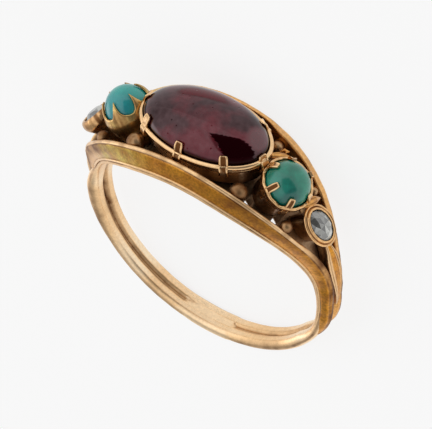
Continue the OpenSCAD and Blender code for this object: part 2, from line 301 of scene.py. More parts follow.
def grown(name, points, edges, values, tree, inputs):
    """The plain mesh that a tree of geometry nodes makes of points, edges and their named values."""
    base = bpy.data.meshes.new(name)
    base.from_pydata(points, edges, [])
    for label, numbers in values.items():
        base.attributes.new(label, "FLOAT", "POINT").data.foreach_set("value", numbers)
    made = bpy.data.objects.new(name, base)
    bpy.context.scene.collection.objects.link(made)
    modifier = made.modifiers.new("grow", "NODES")
    modifier.node_group = tree
    for socket in tree.interface.items_tree:
        if socket.in_out == "INPUT" and socket.name in inputs:
            modifier[socket.identifier] = inputs[socket.name]
    whole = bpy.data.meshes.new_from_object(made.evaluated_get(bpy.context.evaluated_depsgraph_get()))
    made.modifiers.clear()
    bpy.data.objects.remove(made)
    return whole


def put_in_place(mesh, place):
    """Moves a mesh drawn in millimetres by a function of its points, and onto the table."""
    flat = np.empty(len(mesh.vertices) * 3)
    mesh.vertices.foreach_get("co", flat)
    mesh.vertices.foreach_set("co", laid(place(flat.reshape(-1, 3))).reshape(-1))
    mesh.update()
    return mesh


# Materials


def new_material(name):
    """A material, the function that adds a node to it, and the coordinates of the piece."""
    material = bpy.data.materials.new(name)
    material.use_nodes = True
    material.node_tree.nodes.clear()
    node = partial(add, material.node_tree)
    return material, node, node("ShaderNodeTexCoord", out="Object")


def close_material(material, inputs):
    """Ends a material with the usual surface shader."""
    shader = add(material.node_tree, "ShaderNodeBsdfPrincipled", inputs)
    add(material.node_tree, "ShaderNodeOutputMaterial", (shader,))
    return material


# The golds. Columns: colour, roughness, depth of the pits in mm
GOLDS = {
    # Cast 18 carat gold, polished by wear: a pale warm mirror with soft scratches
    "cast_gold_worn_bright": ("worn_gold", 0.14, 0.0015),
    # Fine scratches from years of wear make the shank pale and satiny, with broad soft gradients
    "cast_gold_worn_satin": ("satin_gold", 0.36, 0.0005),
    # Gold as cast, dull and pitted, under old brown grey dirt
    "cast_gold_dull_floor": ("floor_gold", 0.42, 0.012),
    # Cast gold that was never polished again: yellow, softly pitted faces
    "cast_gold_pitted": ("worn_gold", 0.28, 0.004),
}
BRIGHT, SATIN, DULL, PITTED = GOLDS


def gold(name):
    """Old gold. It is polished by wear on what stands out, yellower on the faces marked old, and
    brown with tarnish where the film lies and in the corners. Where film is below nothing it is
    rubbed pale."""
    if name in bpy.data.materials:
        return bpy.data.materials[name]
    metal, roughness, pits = GOLDS[name]
    material, node, place = new_material(name)
    film, old = (node("ShaderNodeAttribute", out="Fac", attribute_name=label) for label in ("film", "old"))
    # Clouds of tarnish about a millimetre across, and casting pits about 0.09 mm across
    clouds, grain = (
        node("ShaderNodeTexNoise", {"Vector": place, "Scale": 1 / (size * MM), "Detail": detail})
        for size, detail in ((1.1, 4.0), (0.16, 3.0))
    )
    corners = node("ShaderNodeAmbientOcclusion", {"Distance": 0.45 * MM}, "AO", samples=8)
    # The gold of the rails is greenest 5 mm to the left of the middle
    across = node("ShaderNodeSeparateXYZ", (place,))
    from_green = node("ShaderNodeMath", (across, 5.0 * MM), operation="ADD")
    apart = node("ShaderNodeMath", (from_green,), operation="ABSOLUTE")
    # Columns: value, its least and its most, then what it becomes there if not 0 and 1
    corner_film, patch, to_right, red_clouds, rubbed, least = (
        node("ShaderNodeMapRange", row)
        for row in (
            (corners, 0.62, 0.1, 0.0, 0.8),
            (clouds, 0.38, 0.68, 0.55, 1.15),
            (apart, 1.2 * MM, 3.2 * MM),
            (clouds, 0.45, 0.7, 0.0, 0.75),
            (film, 0.0, -1.0),
            (old, 0.0, 1.0, 0.9, 0.66),
        )
    )
    deeper = node("ShaderNodeMapRange", (grain, 0.35, 0.65, least, 1.04))
    lain = node("ShaderNodeMath", (film, patch), operation="MULTIPLY")
    brown = node("ShaderNodeMath", (lain, corner_film), operation="MAXIMUM", use_clamp=True)
    copper = linear("#D2B24C")
    for factor, over in ((to_right, colours().rail_gold), (red_clouds, linear("#B8702C"))):
        copper = node("ShaderNodeMix", {0: factor, 6: copper, 7: over}, 2, data_type="RGBA")
    base = getattr(colours(), metal)
    for factor, over, blend in (
        (rubbed, linear("#FFE6C2"), "MIX"),
        (old, copper, "MIX"),
        (1.0, deeper, "MULTIPLY"),
        (brown, colours().tarnish, "MIX"),
    ):
        base = node("ShaderNodeMix", {0: factor, 6: base, 7: over}, 2, data_type="RGBA", blend_type=blend)
    rough = node("ShaderNodeMapRange", (brown, 0.0, 1.0, roughness, 0.5))
    bump = node("ShaderNodeBump", {"Height": grain, "Strength": 1.0, "Distance": pits * MM})
    return close_material(
        material, {"Base Color": base, "Metallic": 1.0, "Roughness": rough, "Normal": bump}
    )


def garnet_material():
    """Polished almandine garnet: so dark that its red shows only where light leaves it low on the
    far side, under a clear gloss. Its index is a garnet's, 1.76."""
    material, node, place = new_material("polished_garnet")
    glow, dim = (node("ShaderNodeAttribute", out="Fac", attribute_name=label) for label in ("old", "film"))
    # Wine coloured haze under the gloss in clouds about two millimetres across, and the veil's
    # unevenness over a third of a millimetre
    clouds, grain = (
        node("ShaderNodeTexNoise", {"Vector": place, "Scale": 1 / (size * MM), "Detail": detail})
        for size, detail in ((2.2, 3.0), (0.35, 4.0))
    )
    # Worn nicks, three to a square millimetre and 0.1 mm wide
    spread = {"Vector": place, "Scale": 1 / (0.55 * MM)}
    cells = node("ShaderNodeTexVoronoi", spread, "Distance", feature="F1")
    haze, uneven, nick, veil = (
        node("ShaderNodeMapRange", row)
        for row in (
            (clouds, 0.42, 0.62),
            (grain, 0.3, 0.7, 0.36, 0.0),
            (cells, 0.07, 0.16),
            (dim, 0.0, -1.0),
        )
    )
    open_haze = node("ShaderNodeMath", (haze, dim), operation="SUBTRACT", use_clamp=True)
    hole = node("ShaderNodeMath", (0.7, nick), operation="SUBTRACT", use_clamp=True)
    dulled = node("ShaderNodeMath", (dim, uneven), operation="ADD")
    duller = node("ShaderNodeMath", (dulled, hole), operation="ADD")
    body = colours().garnet
    for factor, over in ((glow, linear("#560614")), (open_haze, linear("#560E1A"))):
        body = node("ShaderNodeMix", {0: factor, 6: body, 7: over}, 2, data_type="RGBA")
    gloss = (1.0, 0.64, 0.68)
    for factor, over in ((veil, (1.0, 1.0, 1.0)), (duller, (0.05, 0.0, 0.005))):
        gloss = node("ShaderNodeMix", {0: factor, 6: gloss, 7: over}, 2, data_type="RGBA")
    bump = node("ShaderNodeBump", {"Height": nick, "Strength": 0.8, "Distance": 0.012 * MM})
    return close_material(
        material,
        {"Base Color": body, "Specular Tint": gloss, "Roughness": 0.05, "IOR": 1.76, "Normal": bump},
    )


def turquoise_material(name, body, light):
    """Polished turquoise: an opaque waxy blue green with paler clouds, bluer toward the front."""
    material, node, place = new_material(name)
    clouds = node("ShaderNodeTexNoise", {"Vector": place, "Scale": 1 / (1.6 * MM), "Detail": 3.0})
    pale = node("ShaderNodeMapRange", (clouds, 0.4, 0.68))
    blue = node("ShaderNodeAttribute", out="Fac", attribute_name="old")
    for factor, over in ((pale, light), (blue, linear("#0F6E96"))):
        body = node("ShaderNodeMix", {0: factor, 6: body, 7: over}, 2, data_type="RGBA")
    return close_material(material, {"Base Color": body, "Roughness": 0.18, "IOR": 1.61})


def diamond_material():
    """Old cut diamond, dulled by wear and by what has gathered below it: grey facets of different
    depth under a hard gloss."""
    material, node, _ = new_material("old_cut_diamond")
    shade = node("ShaderNodeAttribute", out="Fac", attribute_name="shade")
    grey = {0: shade, 6: linear("#1E1B17"), 7: colours().diamond}
    body = node("ShaderNodeMix", grey, 2, data_type="RGBA")
    return close_material(material, {"Base Color": body, "Roughness": 0.06, "IOR": 2.42})


# Rails and shank

# Angle by which the sections have changed from the head's to the shank's, and the angles where a
# rail's moulding and its lower band start to change
REED_FROM = 88.0
MORPH_FROM = 46.0
EDGE_MORPH_FROM = 62.0
# Height of the moulding's foot above the finger hole
MOULDING_FOOT = 0.27
# The most of the half width that it takes up on the head
MOULDING_REACH = 0.72
# Where the mouldings' tips start and end, in degrees on the left and on the right
TIPS = [(58.0, 77.0), (97.0, 118.0)]
# Where a tip closes: the share of the half width and the height above the finger hole
TIP_SHARE, TIP_HEIGHT = 0.45, 0.5
# By angle: how far each shoulder stands proud of the shank's round, how far the worn right one has
# bent out of round inside, and how much wider the left one is
PROUD_RIGHT = ([50, 62, 72, 82, 95, 118], [0, 0.08, 0.17, 0.26, 0.30, 0.32])
PROUD_LEFT = ([50, 58, 65, 75, 85, 96, 108, 118], [0, 0.15, 0.24, 0.17, 0.13, 0.12, 0.07, 0.03])
BENT_RIGHT = ([85, 96, 104, 112, 117, 124], [0, 0.10, 0.20, 0.25, 0.17, 0])
WIDE_LEFT = ([60, 75, 85, 96, 108, 120], [0, 0.10, 0.14, 0.13, 0.07, 0])
NOTHING = ([0, 180], [0, 0])
# By angle: how far the left reed stands proud beyond its moulding's tip, and how tarnished the
# rail's face is beside its top edge
REED_PROUD_LEFT = ([48, 60, 66, 75, 85, 96, 108, 118], [0.1, 0.20, 0.23, 0.17, 0.13, 0.12, 0.07, 0.03])
FACE_FILM = (
    [-90, -50, -34, 0, 12, 25, 42, 60, 80, 110],
    [0.85, 0.85, 0.4, 0.0, 0.2, 0.65, 0.6, 0.25, 0.25, 0.2],
)
# Moulding of a rail. Columns: on the head the distance in from the outer face and the share of the
# height, on the shoulder the shares of the half width and of the height, then film and old gold
MOULDING = [
    (0.02, 0.000, 0.02, 0.00, 1.0, 0.0), (-0.04, 0.018, -0.03, 0.04, 0.6, 0.0),
    (-0.07, 0.045, -0.045, 0.09, 0.1, 0.0), (-0.065, 0.090, -0.035, 0.15, 0.0, 0.0),
    (-0.03, 0.118, 0.00, 0.205, 0.1, 0.3), (0.01, 0.132, 0.02, 0.235, 0.75, 0.8),
    (0.012, 0.170, 0.015, 0.28, 0.2, 1.0), (0.00, 0.300, 0.00, 0.42, 0.0, 1.0),
    (-0.01, 0.550, 0.03, 0.66, 0.0, 1.0), (0.005, 0.780, 0.08, 0.80, 0.0, 1.0),
    (0.025, 0.840, 0.13, 0.86, 0.3, 0.9), (0.07, 0.875, 0.21, 0.91, 0.9, 0.4),
    (0.04, 0.905, 0.28, 0.95, 0.3, 0.0), (0.03, 0.935, 0.32, 0.98, 0.0, 0.0),
    (0.05, 0.970, 0.40, 1.00, 0.0, 0.0), (0.10, 0.993, 0.46, 1.00, 0.0, 0.0),
    (0.17, 1.000, 0.52, 0.99, 0.0, 0.0), (0.26, 0.985, 0.60, 0.965, 0.2, 0.1),
    (0.31, 0.940, 0.66, 0.93, 0.3, 0.6), (0.335, 0.850, 0.70, 0.86, 0.2, 0.9),
    (0.34, 0.700, 0.78, 0.74, 0.3, 0.9), (0.40, 0.350, 0.88, 0.50, 0.75, 0.4),
    (0.46, 0.050, 0.92, 0.20, 1.0, 0.3), (0.40, -0.050, 0.60, 0.00, 1.0, 0.0),
    (0.15, -0.050, 0.30, -0.03, 1.0, 0.0),
]
# A rail's lower band, which is the shank's reed flattened. Columns: distance in, height, the angle
# round the reed's section from its finger side outwards, then film on the head and on the shank
LOWER_BAND = [
    (0.06, 0.00, 12, 0.3, 0.0), (-0.05, 0.03, 34, 0.2, 0.2), (-0.09, 0.09, 55, 0.1, 0.4),
    (-0.09, 0.18, 72, 0.2, 0.45), (-0.05, 0.25, 92, 0.8, 0.7), (0.05, 0.29, 112, 1.0, 0.7),
    (0.25, 0.31, 138, 1.0, 0.0), (0.55, 0.30, 180, 0.9, 0.0), (0.90, 0.26, 220, 0.8, 0.55),
    (1.28, 0.20, 262, 0.6, 1.1), (1.31, 0.10, 290, 0.5, 1.0), (1.28, 0.01, 318, 0.3, 0.72),
    (0.90, 0.00, 340, 0.2, 0.22), (0.45, 0.00, 356, 0.2, 0.0),
]
# How far each reed runs past the middle, into the other one
REED_OVERLAP = 0.02
# Where the sizing piece starts and stops, the height of its middle and half its thickness
SIZING = (167.7, 199.3)
SIZING_MIDDLE, SIZING_HALF = 0.44, 0.482
# How much wider than the shank it is to each side, and how square its section is: 1 is round
SIZING_WIDER, SIZING_SQUARE = 0.014, 0.62
# The filled groove: where it starts and stops, and by angle how high its bottom is
GROOVE_SPAN = (112.0, 262.0)
GROOVE_TOP = (
    [112, 128, 140, 152, 167, 201, 214, 228, 245, 262],
    [0.47, 0.64, 0.76, 0.82, 0.85, 0.87, 0.84, 0.76, 0.66, 0.5],
)
# Half its width, and the height of its edges
GROOVE_HALF, GROOVE_EDGE = 0.47, 0.906
# How pale wear has rubbed the shank, by angle on the left and on the right
RUBBED = [
    (
        [60, 82, 88, 105, 112, 120, 128, 140, 146, 155, 165, 180],
        [1, 1, 0.1, 0.1, 0.2, 0.6, 1, 1, 0.3, 0.3, 0.5, 0.6],
    ),
    ([90, 110, 118, 124, 130, 140, 155, 163, 170, 180], [0, 0.3, 1, 1, 0.6, 0, 0, 0.35, 0.5, 0.6]),
]
# How dark the groove's flanks are, by angle on the left and on the right
GROOVE_FILM = [([88, 112, 128, 145, 165], [0.95, 0.9, 0.75, 0.6, 0.4]), ([90, 150, 165], [0.6, 0.6, 0.45])]
# Floor of the head: how far it reaches to each side in degrees, how far in from the outer faces its
# edge lies, its top and underside above the finger hole, and the strip outside its openings
FLOOR_REACH, FLOOR_IN, FLOOR_TOP, FLOOR_UNDER, FLOOR_STRIP = 52, 1.2, 0.13, 0.01, 0.1
# Openings along both its sides. Columns: angle from the head's middle, length in mm
OPENINGS = [(-40, 0.4), (-26.5, 0.7), (27.6, 0.45), (40.8, 0.4)]
OPENING_WIDTH = 0.35
# The share of that width at an opening's middle, and how much of it is lost toward its right end
OPENING_MIDDLE, OPENING_TAPER = 0.8, 0.35
# Floor of a shoulder. Columns: angle, half width, top
SHOULDER_FLOOR = [
    (48.0, 2.04, 9.20), (59.3, 1.31, 9.42), (66.2, 0.93, 9.45), (72.8, 0.73, 9.38), (81.0, 0.60, 9.28),
    (91.0, 0.30, 9.20), (104.0, 0.30, 9.24), (115.0, 0.28, 9.22), (125.0, 0.26, 9.08),
]
# Leaf on a shoulder. Columns: angle, half width, top
SHOULDER_LEAF = [
    (58.6, 0.10, 10.30), (60.0, 0.24, 10.33), (63.0, 0.36, 10.30), (66.0, 0.50, 10.22),
    (70.0, 0.57, 10.12), (75.0, 0.54, 10.02), (80.0, 0.42, 9.94), (86.0, 0.24, 9.84), (92.0, 0.08, 9.72),
]
# How far the leaves lie to the back of the middle
LEAF_BACK = 0.15
# Half of the leaf's section. Columns: share of the half width, height in mm, film, old gold
LEAF_SECTION = [
    (0.96, -0.75, 1.0, 0.0), (1.00, -0.30, 0.7, 0.0), (1.04, -0.12, 0.2, 0.0), (1.00, -0.02, 0.0, 0.0),
    (0.90, 0.02, 0.0, 0.0), (0.80, -0.03, 0.6, 0.0), (0.74, -0.09, 1.0, 0.0), (0.68, -0.04, 0.5, 0.0),
    (0.60, 0.02, 0.0, 0.0), (0.50, 0.03, 0.0, 0.3), (0.40, 0.01, 0.2, 1.0), (0.20, 0.02, 0.1, 1.0),
    (0.00, 0.02, 0.1, 1.0),
]


def by_side(angle, left, right):
    """A value read from a table for each side, by the angle from the head's middle."""
    return np.where(angle < 0, np.interp(-angle, *left), np.interp(angle, *right))


def half_width(angle):
    """Half the ring's width at an angle."""
    angle = np.asarray(angle, float)
    s = sizes()
    narrow = s.reed_half_gap + s.reed_radius
    closed = np.minimum(1, (np.abs(angle) / math.degrees(s.close_angle)) ** 1.35)
    spread = (s.head_half_width - narrow) * np.cos(np.pi / 2 * closed) ** 2
    return narrow + by_side(angle, WIDE_LEFT, NOTHING) + spread


def top_height(angle):
    """Height of a rail's top above the finger hole."""
    s = sizes()
    reed_top = s.reed_lift + s.reed_radius
    fall = np.maximum(0, 1 - (np.abs(angle) / REED_FROM) ** 2.3)
    return reed_top + (s.rail_height - reed_top) * fall + by_side(angle, PROUD_LEFT, PROUD_RIGHT)


def turned(angle, start):
    """How far a section has turned from the head's into the shoulder's."""
    return smooth((np.abs(angle) - start) / (REED_FROM - start))


def leaning(height, angle):
    """How far a point of a rail leans to the back."""
    s = sizes()
    share = np.clip((height - 0.48) / (s.rail_height - 0.48), 0, 1.1)
    return s.rail_lean * share * (1 - turned(angle, MORPH_FROM))


def moulding(side):
    """The outer moulding of one rail, down to the blunt tips that lie on the reeds."""
    head_in, head_up, shoulder_in, shoulder_up, dirt, yellow = rounded(MOULDING).T
    angle = np.linspace(-TIPS[0][1], TIPS[1][1], 500)[:, None]
    width = half_width(angle)
    into = turned(angle, MORPH_FROM)
    inward = np.minimum(head_in, MOULDING_REACH * width)
    inward = inward + (shoulder_in * width - inward) * into
    share = head_up + (shoulder_up - head_up) * into
    height = MOULDING_FOOT + (top_height(angle) - MOULDING_FOOT) * share
    start, stop = (np.where(angle < 0, *ends) for ends in zip(*TIPS))
    past = np.maximum(0, np.abs(angle) - start) / (stop - start)
    long, blunt = (np.where(angle < 0, *pair) for pair in ((2.0, 1.6), (0.5, 0.62)))
    tip = np.clip(1 - past**long, 0.0004, 1) ** blunt
    inward = TIP_SHARE * width + (inward - TIP_SHARE * width) * tip
    height = TIP_HEIGHT + (height - TIP_HEIGHT) * tip
    uneven = 0.008 * wander(angle, 3 + side, 11) + 0.0015 * wander(angle, 8 + side, 3)
    if side == BACK:
        broader = 0.2 * smooth((np.abs(angle) - 12) / 10) * smooth((62 - np.abs(angle)) / 12)
        inward = inward + broader * smooth((head_in - 0.14) / 0.08)
    across = side * (width - inward + uneven) - leaning(height, angle)
    # The face darkens beside its top edge. On the shoulder the edge's roll is yellow and brown too
    deep = yellow * smooth((head_up - 0.2) / 0.5) * np.interp(angle, *FACE_FILM)
    roll = into * smooth((shoulder_in - 0.1) / 0.1) * smooth((0.78 - shoulder_in) / 0.1)
    brown = roll * (0.35 + 0.5 * smooth((shoulder_in - 0.3) / 0.3)) * (1 + 0.6 * smooth((angle - 48) / 12))
    edge = smooth((head_up - 0.88) / 0.04) * smooth(wander(angle, 17 + side, 13) + 0.3)
    film = dirt * (1 - 0.7 * into) + deep + brown + 0.45 * edge
    old = np.maximum(yellow, roll) * (0.35 + 0.65 * smooth((angle + 62) / 22))
    # The inside of the back rail is clean, and half as yellow as a face
    if side == BACK:
        inner = smooth((head_in - 0.11) / 0.05) * smooth((head_up - 0.5) / 0.3)
        film = film * (1 - inner)
        old = np.maximum(0.75 * old, 0.5 * inner)
    return polar(angle, FINGER_R + height + uneven, across), film, old


def lower_band(side):
    """One reed of the shank, which runs on under the head as the rail's lower band."""
    s = sizes()
    band_in, band_up, section, head_film, shank_film = rounded(LOWER_BAND, (0, 0, 360, 0, 0)).T
    angle = np.linspace(-180, 180, 601)[:-1, None]
    width = half_width(angle)
    into = turned(angle, EDGE_MORPH_FROM)
    turn = np.radians(section)
    half = (width + REED_OVERLAP) / 2
    bent = by_side(angle, NOTHING, BENT_RIGHT)
    proud = by_side(angle, REED_PROUD_LEFT, NOTHING)
    round_in = half - half * np.sin(turn)
    round_up = s.reed_lift + (bent + proud) / 2 - (s.reed_radius + (proud - bent) / 2) * np.cos(turn)
    inward = band_in + (round_in - band_in) * into
    height = band_up + (np.maximum(round_up, 0) - band_up) * into
    uneven = 0.008 * wander(angle, 21 + side, 14)
    rings = polar(angle, FINGER_R + height, side * (width - inward) + uneven)
    film = head_film + (shank_film - head_film) * into
    # What faces the groove is dark, what faces outwards keeps some film, and the rest is rubbed
    groove = smooth((section - 195) / 30) * smooth((350 - section) / 20)
    outer = smooth((section - 80) / 15) * smooth((130 - section) / 20)
    worn = (1 - np.maximum(groove, 0.8 * outer)) * by_side(angle, *RUBBED)
    worn = worn + groove * shank_film * (1 - by_side(angle, *GROOVE_FILM))
    return rings, film + into * (0.16 * smooth(wander(angle, 33, 17)) - worn)


def groove_solder():
    """Solder and wear that make the groove between the reeds a shallow valley toward the sizing
    piece. Its sides end inside the reeds."""
    angle = np.linspace(*GROOVE_SPAN, 220)[:, None]
    share = np.array([-1, -1, -0.8, -0.6, -0.45, -0.3, -0.15, 0, 0.15, 0.3, 0.45, 0.6, 0.8, 1, 1])
    valley = np.interp(angle, *GROOVE_TOP)
    height = valley + (GROOVE_EDGE - valley) * np.abs(share) ** 1.3
    height[:, [0, -1]] = 0.2
    dark = np.exp(-((share / 0.42) ** 2)) * smooth((GROOVE_EDGE - 0.02 - valley) / 0.12)
    turn = wrapped(angle)
    film = 0.85 * dark - (1 - dark) * by_side(turn, *RUBBED)
    film[:, [0, -1]] = by_side(turn, *GROOVE_FILM)
    return polar(angle, FINGER_R + height, GROOVE_HALF * share), film


def sizing_piece():
    """The plain piece let in where the ring was made larger, filed into the reeds at its ends."""
    s = sizes()
    start, stop = SIZING
    angle = np.linspace(start, stop, 130)[:, None]
    around = np.linspace(0, 2 * np.pi, 96, endpoint=False)
    box = [np.sign(f(around)) * np.abs(f(around)) ** SIZING_SQUARE for f in (np.cos, np.sin)]
    filed = 1 - smooth((stop - angle) / 13) * smooth((angle - start) / 3.5)
    across = (float(half_width(180)) + SIZING_WIDER) * box[0] * (1 - 0.03 * filed)
    flat = SIZING_MIDDLE + SIZING_HALF * box[1] - 0.01 * np.abs(box[0])
    bow = np.sqrt(np.maximum(0.0, s.reed_radius**2 - (np.abs(across) - s.reed_half_gap) ** 2))
    valley = np.interp(angle, *GROOVE_TOP) + 0 * across
    upper = np.maximum(s.reed_lift + bow, np.where(np.abs(across) < GROOVE_HALF, valley, 0))
    reeds = np.where(box[1] > 0, upper, s.reed_lift - bow)
    under_skin = s.reed_lift + (reeds - s.reed_lift) * 0.975
    height = flat + (under_skin - flat) * filed
    # The seam at its start shows as a thin dark line
    seam = 0.3 * np.exp(-((angle - start - 1.6) ** 2)) * np.ones_like(around)
    film = seam - by_side(wrapped(angle), *RUBBED)
    return polar(angle, FINGER_R + np.maximum(0, height), across), film


def head_floor():
    """Plate between the feet of the rails, with its small openings beside them."""
    spans = [(at, math.degrees(long / 2 / FINGER_R)) for at, long in OPENINGS]
    ends = [at + side * span for at, span in spans for side in (-1, 1)]
    angles = np.array(sorted({*np.linspace(-FLOOR_REACH, FLOOR_REACH, 105).tolist(), *ends}))[:, None]
    half = half_width(angles) - FLOOR_IN
    wide = OPENING_WIDTH * np.ones_like(angles)
    for at, span in spans:
        here = np.abs(angles - at) < span + 0.01
        wide = np.where(here, (OPENING_MIDDLE - OPENING_TAPER * (angles - at) / span) * wide, wide)
    across = np.concatenate([-half, -half + FLOOR_STRIP, -half + FLOOR_STRIP + wide], 1)
    across = np.concatenate([across, -across[:, ::-1]], 1)
    sheets = [polar(angles, FINGER_R + height, across) for height in (FLOOR_TOP, FLOOR_UNDER)]
    plate = Shape()
    first = plate.add_points(np.stack(sheets), 0.65)
    n, m = across.shape

    def kept(i, j):
        if not (0 <= i < n - 1 and 0 <= j < m - 1):
            return False
        middle = (angles[i, 0] + angles[i + 1, 0]) / 2
        return j not in (1, 3) or not any(abs(middle - at) < span for at, span in spans)

    for i, j in np.ndindex(n - 1, m - 1):
        if kept(i, j):
            high = [first + a * m + b for a, b in ((i, j), (i, j + 1), (i + 1, j + 1), (i + 1, j))]
            low = [k + n * m for k in high]
            plate.faces += [high, low[::-1]]
            for side, (di, dj) in enumerate([(-1, 0), (0, 1), (1, 0), (0, -1)]):
                if not kept(i + di, j + dj):
                    k = (side + 1) % 4
                    plate.faces.append([high[side], high[k], low[k], low[side]])
    return plate


def shoulder_floor(side):
    """Floor between the rails below a diamond, down to where they end."""
    angle = np.linspace(SHOULDER_FLOOR[0][0], SHOULDER_FLOOR[-1][0], 90)[:, None]
    half, top = columns(SHOULDER_FLOOR, angle)
    share = np.array([-1, -1, -0.5, 0, 0.5, 1, 1])
    height = np.array([0, 1, 1, 1, 1, 1, 0])
    under = FINGER_R + 0.02 + 0.3 * smooth((angle - 70) / 10)
    return polar(side * angle, under + (top - under) * height, half * share)


def shoulder_leaf(side):
    """The raised leaf on a shoulder, with a double beaded edge, that tapers into the groove."""
    angle = np.linspace(SHOULDER_LEAF[0][0], SHOULDER_LEAF[-1][0], 120)[:, None]
    half, top = columns(SHOULDER_LEAF, angle)
    one = np.array(LEAF_SECTION)
    table = np.concatenate([one, one[-2::-1] * (-1, 1, 1, 1)])
    squeeze = np.minimum(1, half / 0.3)
    height = top + table[:, 1] * np.where(table[:, 1] < -0.2, 1, squeeze)
    rings = polar(side * angle, height, half * table[:, 0] - LEAF_BACK)
    return rings, table[:, 2], table[:, 3]


# Settings of the stones

# Where the stones sit: their angle, and the height of their rim above the finger's axis
GARNET_ANGLE, GARNET_RIM = -0.7, 10.77
TURQUOISE_ANGLE, TURQUOISE_RIM = 32.8, 11.05
DIAMOND_ANGLE = 50.6
# The left diamond sits higher than the right one
GIRDLE = {LEFT: 11.24, RIGHT: 10.98}
# How far the garnet lies to the back, and how much taller the left turquoise's dome is
GARNET_BACK = 0.22
TURQUOISE_RAISE = 0.17
# Gap between a claw and its stone, and the foot of a claw: how far out its points lie, how high
CLAW_GAP = 0.05
CLAW_FOOT_OUT = np.array([0.345, 0.335, 0.31, 0.25])
CLAW_FOOT_HIGH = [-0.62, -0.36, -0.18, -0.07]
# How the last points of a claw narrow
CLAW_TIP = [0.97, 0.9, 0.72]
# Section of the garnet's collet. Columns: distance out from the stone, height from its rim, film
GARNET_COLLET = [
    (-0.30, -2.02, 0.8), (-0.14, -1.40, 0.7), (-0.01, -0.90, 0.5), (0.06, -0.66, 0.3), (0.14, -0.54, 0.2),
    (0.17, -0.47, 0.3), (0.16, -0.41, 0.8), (0.20, -0.35, 0.6), (0.27, -0.26, 0.25), (0.30, -0.15, 0.1),
    (0.28, -0.05, 0.0), (0.21, 0.03, 0.0), (0.12, 0.05, 0.0), (0.05, 0.02, 0.3), (0.03, -0.12, 1.0),
    (0.02, -0.50, 1.0), (-0.16, -1.05, 1.0),
]
# Claws round the garnet's oval. Columns: place in degrees from the right end over the front, how
# far it reaches up the dome in degrees, and how dark its hollow is
FRONT_CLAWS = [(-45, 20, 0.3), (8, 9, 0.5), (52, 23, 1.2), (93, 24, 1.5), (137, 26, 0.35), (180, 24, 0.7)]
BACK_CLAWS = [(-90, 7, 0.2), (-135, 7, 0.2)]
# Section of each diamond's collet. Columns: distance out, height from the girdle, film
DIAMOND_COLLET = {
    LEFT: [
        (-0.20, -2.25, 0.8), (-0.05, -1.10, 0.7), (0.10, -0.78, 0.4), (0.24, -0.58, 0.2),
        (0.33, -0.36, 0.15), (0.34, -0.14, 0.1), (0.28, 0.06, 0.0), (0.18, 0.17, 0.0),
        (0.08, 0.20, 0.0), (-0.02, 0.17, 0.2), (-0.03, 0.11, 0.8), (0.005, 0.00, 1.0),
        (0.005, -0.12, 1.0), (-0.40, -0.86, 1.0),
    ],
    RIGHT: [
        (-0.20, -2.25, 0.8), (-0.08, -0.76, 0.8), (0.08, -0.42, 0.6), (0.22, -0.26, 0.2), (0.31, -0.15, 0.0),
        (0.33, -0.08, 0.0), (0.30, -0.02, 0.0), (0.25, 0.01, 0.0), (0.20, -0.01, 0.5), (0.16, -0.04, 1.0),
        (0.13, 0.00, 0.5), (0.10, 0.06, 0.0), (0.06, 0.095, 0.0), (0.01, 0.10, 0.0), (-0.03, 0.08, 0.2),
        (0.005, 0.00, 1.0), (0.005, -0.12, 1.0), (-0.40, -0.86, 1.0),
    ],
}


def oval_offset(half_l, half_w, off, angle):
    """Points a true distance outside an oval, at angles round it."""
    x, y = half_l * np.cos(angle), half_w * np.sin(angle)
    nx, ny = half_w * np.cos(angle), half_l * np.sin(angle)
    size = np.hypot(nx, ny)
    return x + off * nx / size, y + off * ny / size


def collet(section, half_l, half_w, rim, count):
    """A collet of that section round an oval stone."""
    table = rounded(section)
    angle = np.linspace(0, 2 * np.pi, count, endpoint=False)[:, None]
    uneven = 0.008 * wander(np.degrees(angle), count, 40) * smooth((table[:, 1] + 0.8) / 0.4)
    x, y = oval_offset(half_l, half_w, table[:, 0] + uneven, angle)
    z = rim + table[:, 1] + uneven + 0 * angle
    return np.stack([x, y, z], -1), np.clip(table[:, 2], 0, 1)


def claw_line(half_l, half_w, dome, place, reach, thick, foot=1.0):
    """Middle line of a claw bent over an oval dome, in the plane that stands square to the rim.
    Its foot leans in all the way, so that the bar isn't twisted."""
    turn = math.radians(place)
    facing = math.atan2(half_l * math.sin(turn), half_w * math.cos(turn))
    slope = math.cos(turn) * math.cos(facing) / half_l + math.sin(turn) * math.sin(facing) / half_w
    bend = (math.cos(facing) / half_l) ** 2 + (math.sin(facing) / half_w) ** 2
    deep = slope / bend
    rise = dome * slope / math.sqrt(bend)
    off = CLAW_GAP + thick / 2
    up = np.radians(np.linspace(0, reach, 9))
    lean = np.arctan2(np.sin(up) * deep, np.cos(up) * rise)
    out = np.concatenate([foot * CLAW_FOOT_OUT, deep * (np.cos(up) - 1) + off * np.cos(lean)])
    high = np.concatenate([CLAW_FOOT_HIGH, rise * np.sin(up) + off * np.sin(lean)])
    x = half_l * math.cos(turn) + out * math.cos(facing)
    y = half_w * math.sin(turn) + out * math.sin(facing)
    return np.stack([x, y, high], -1)


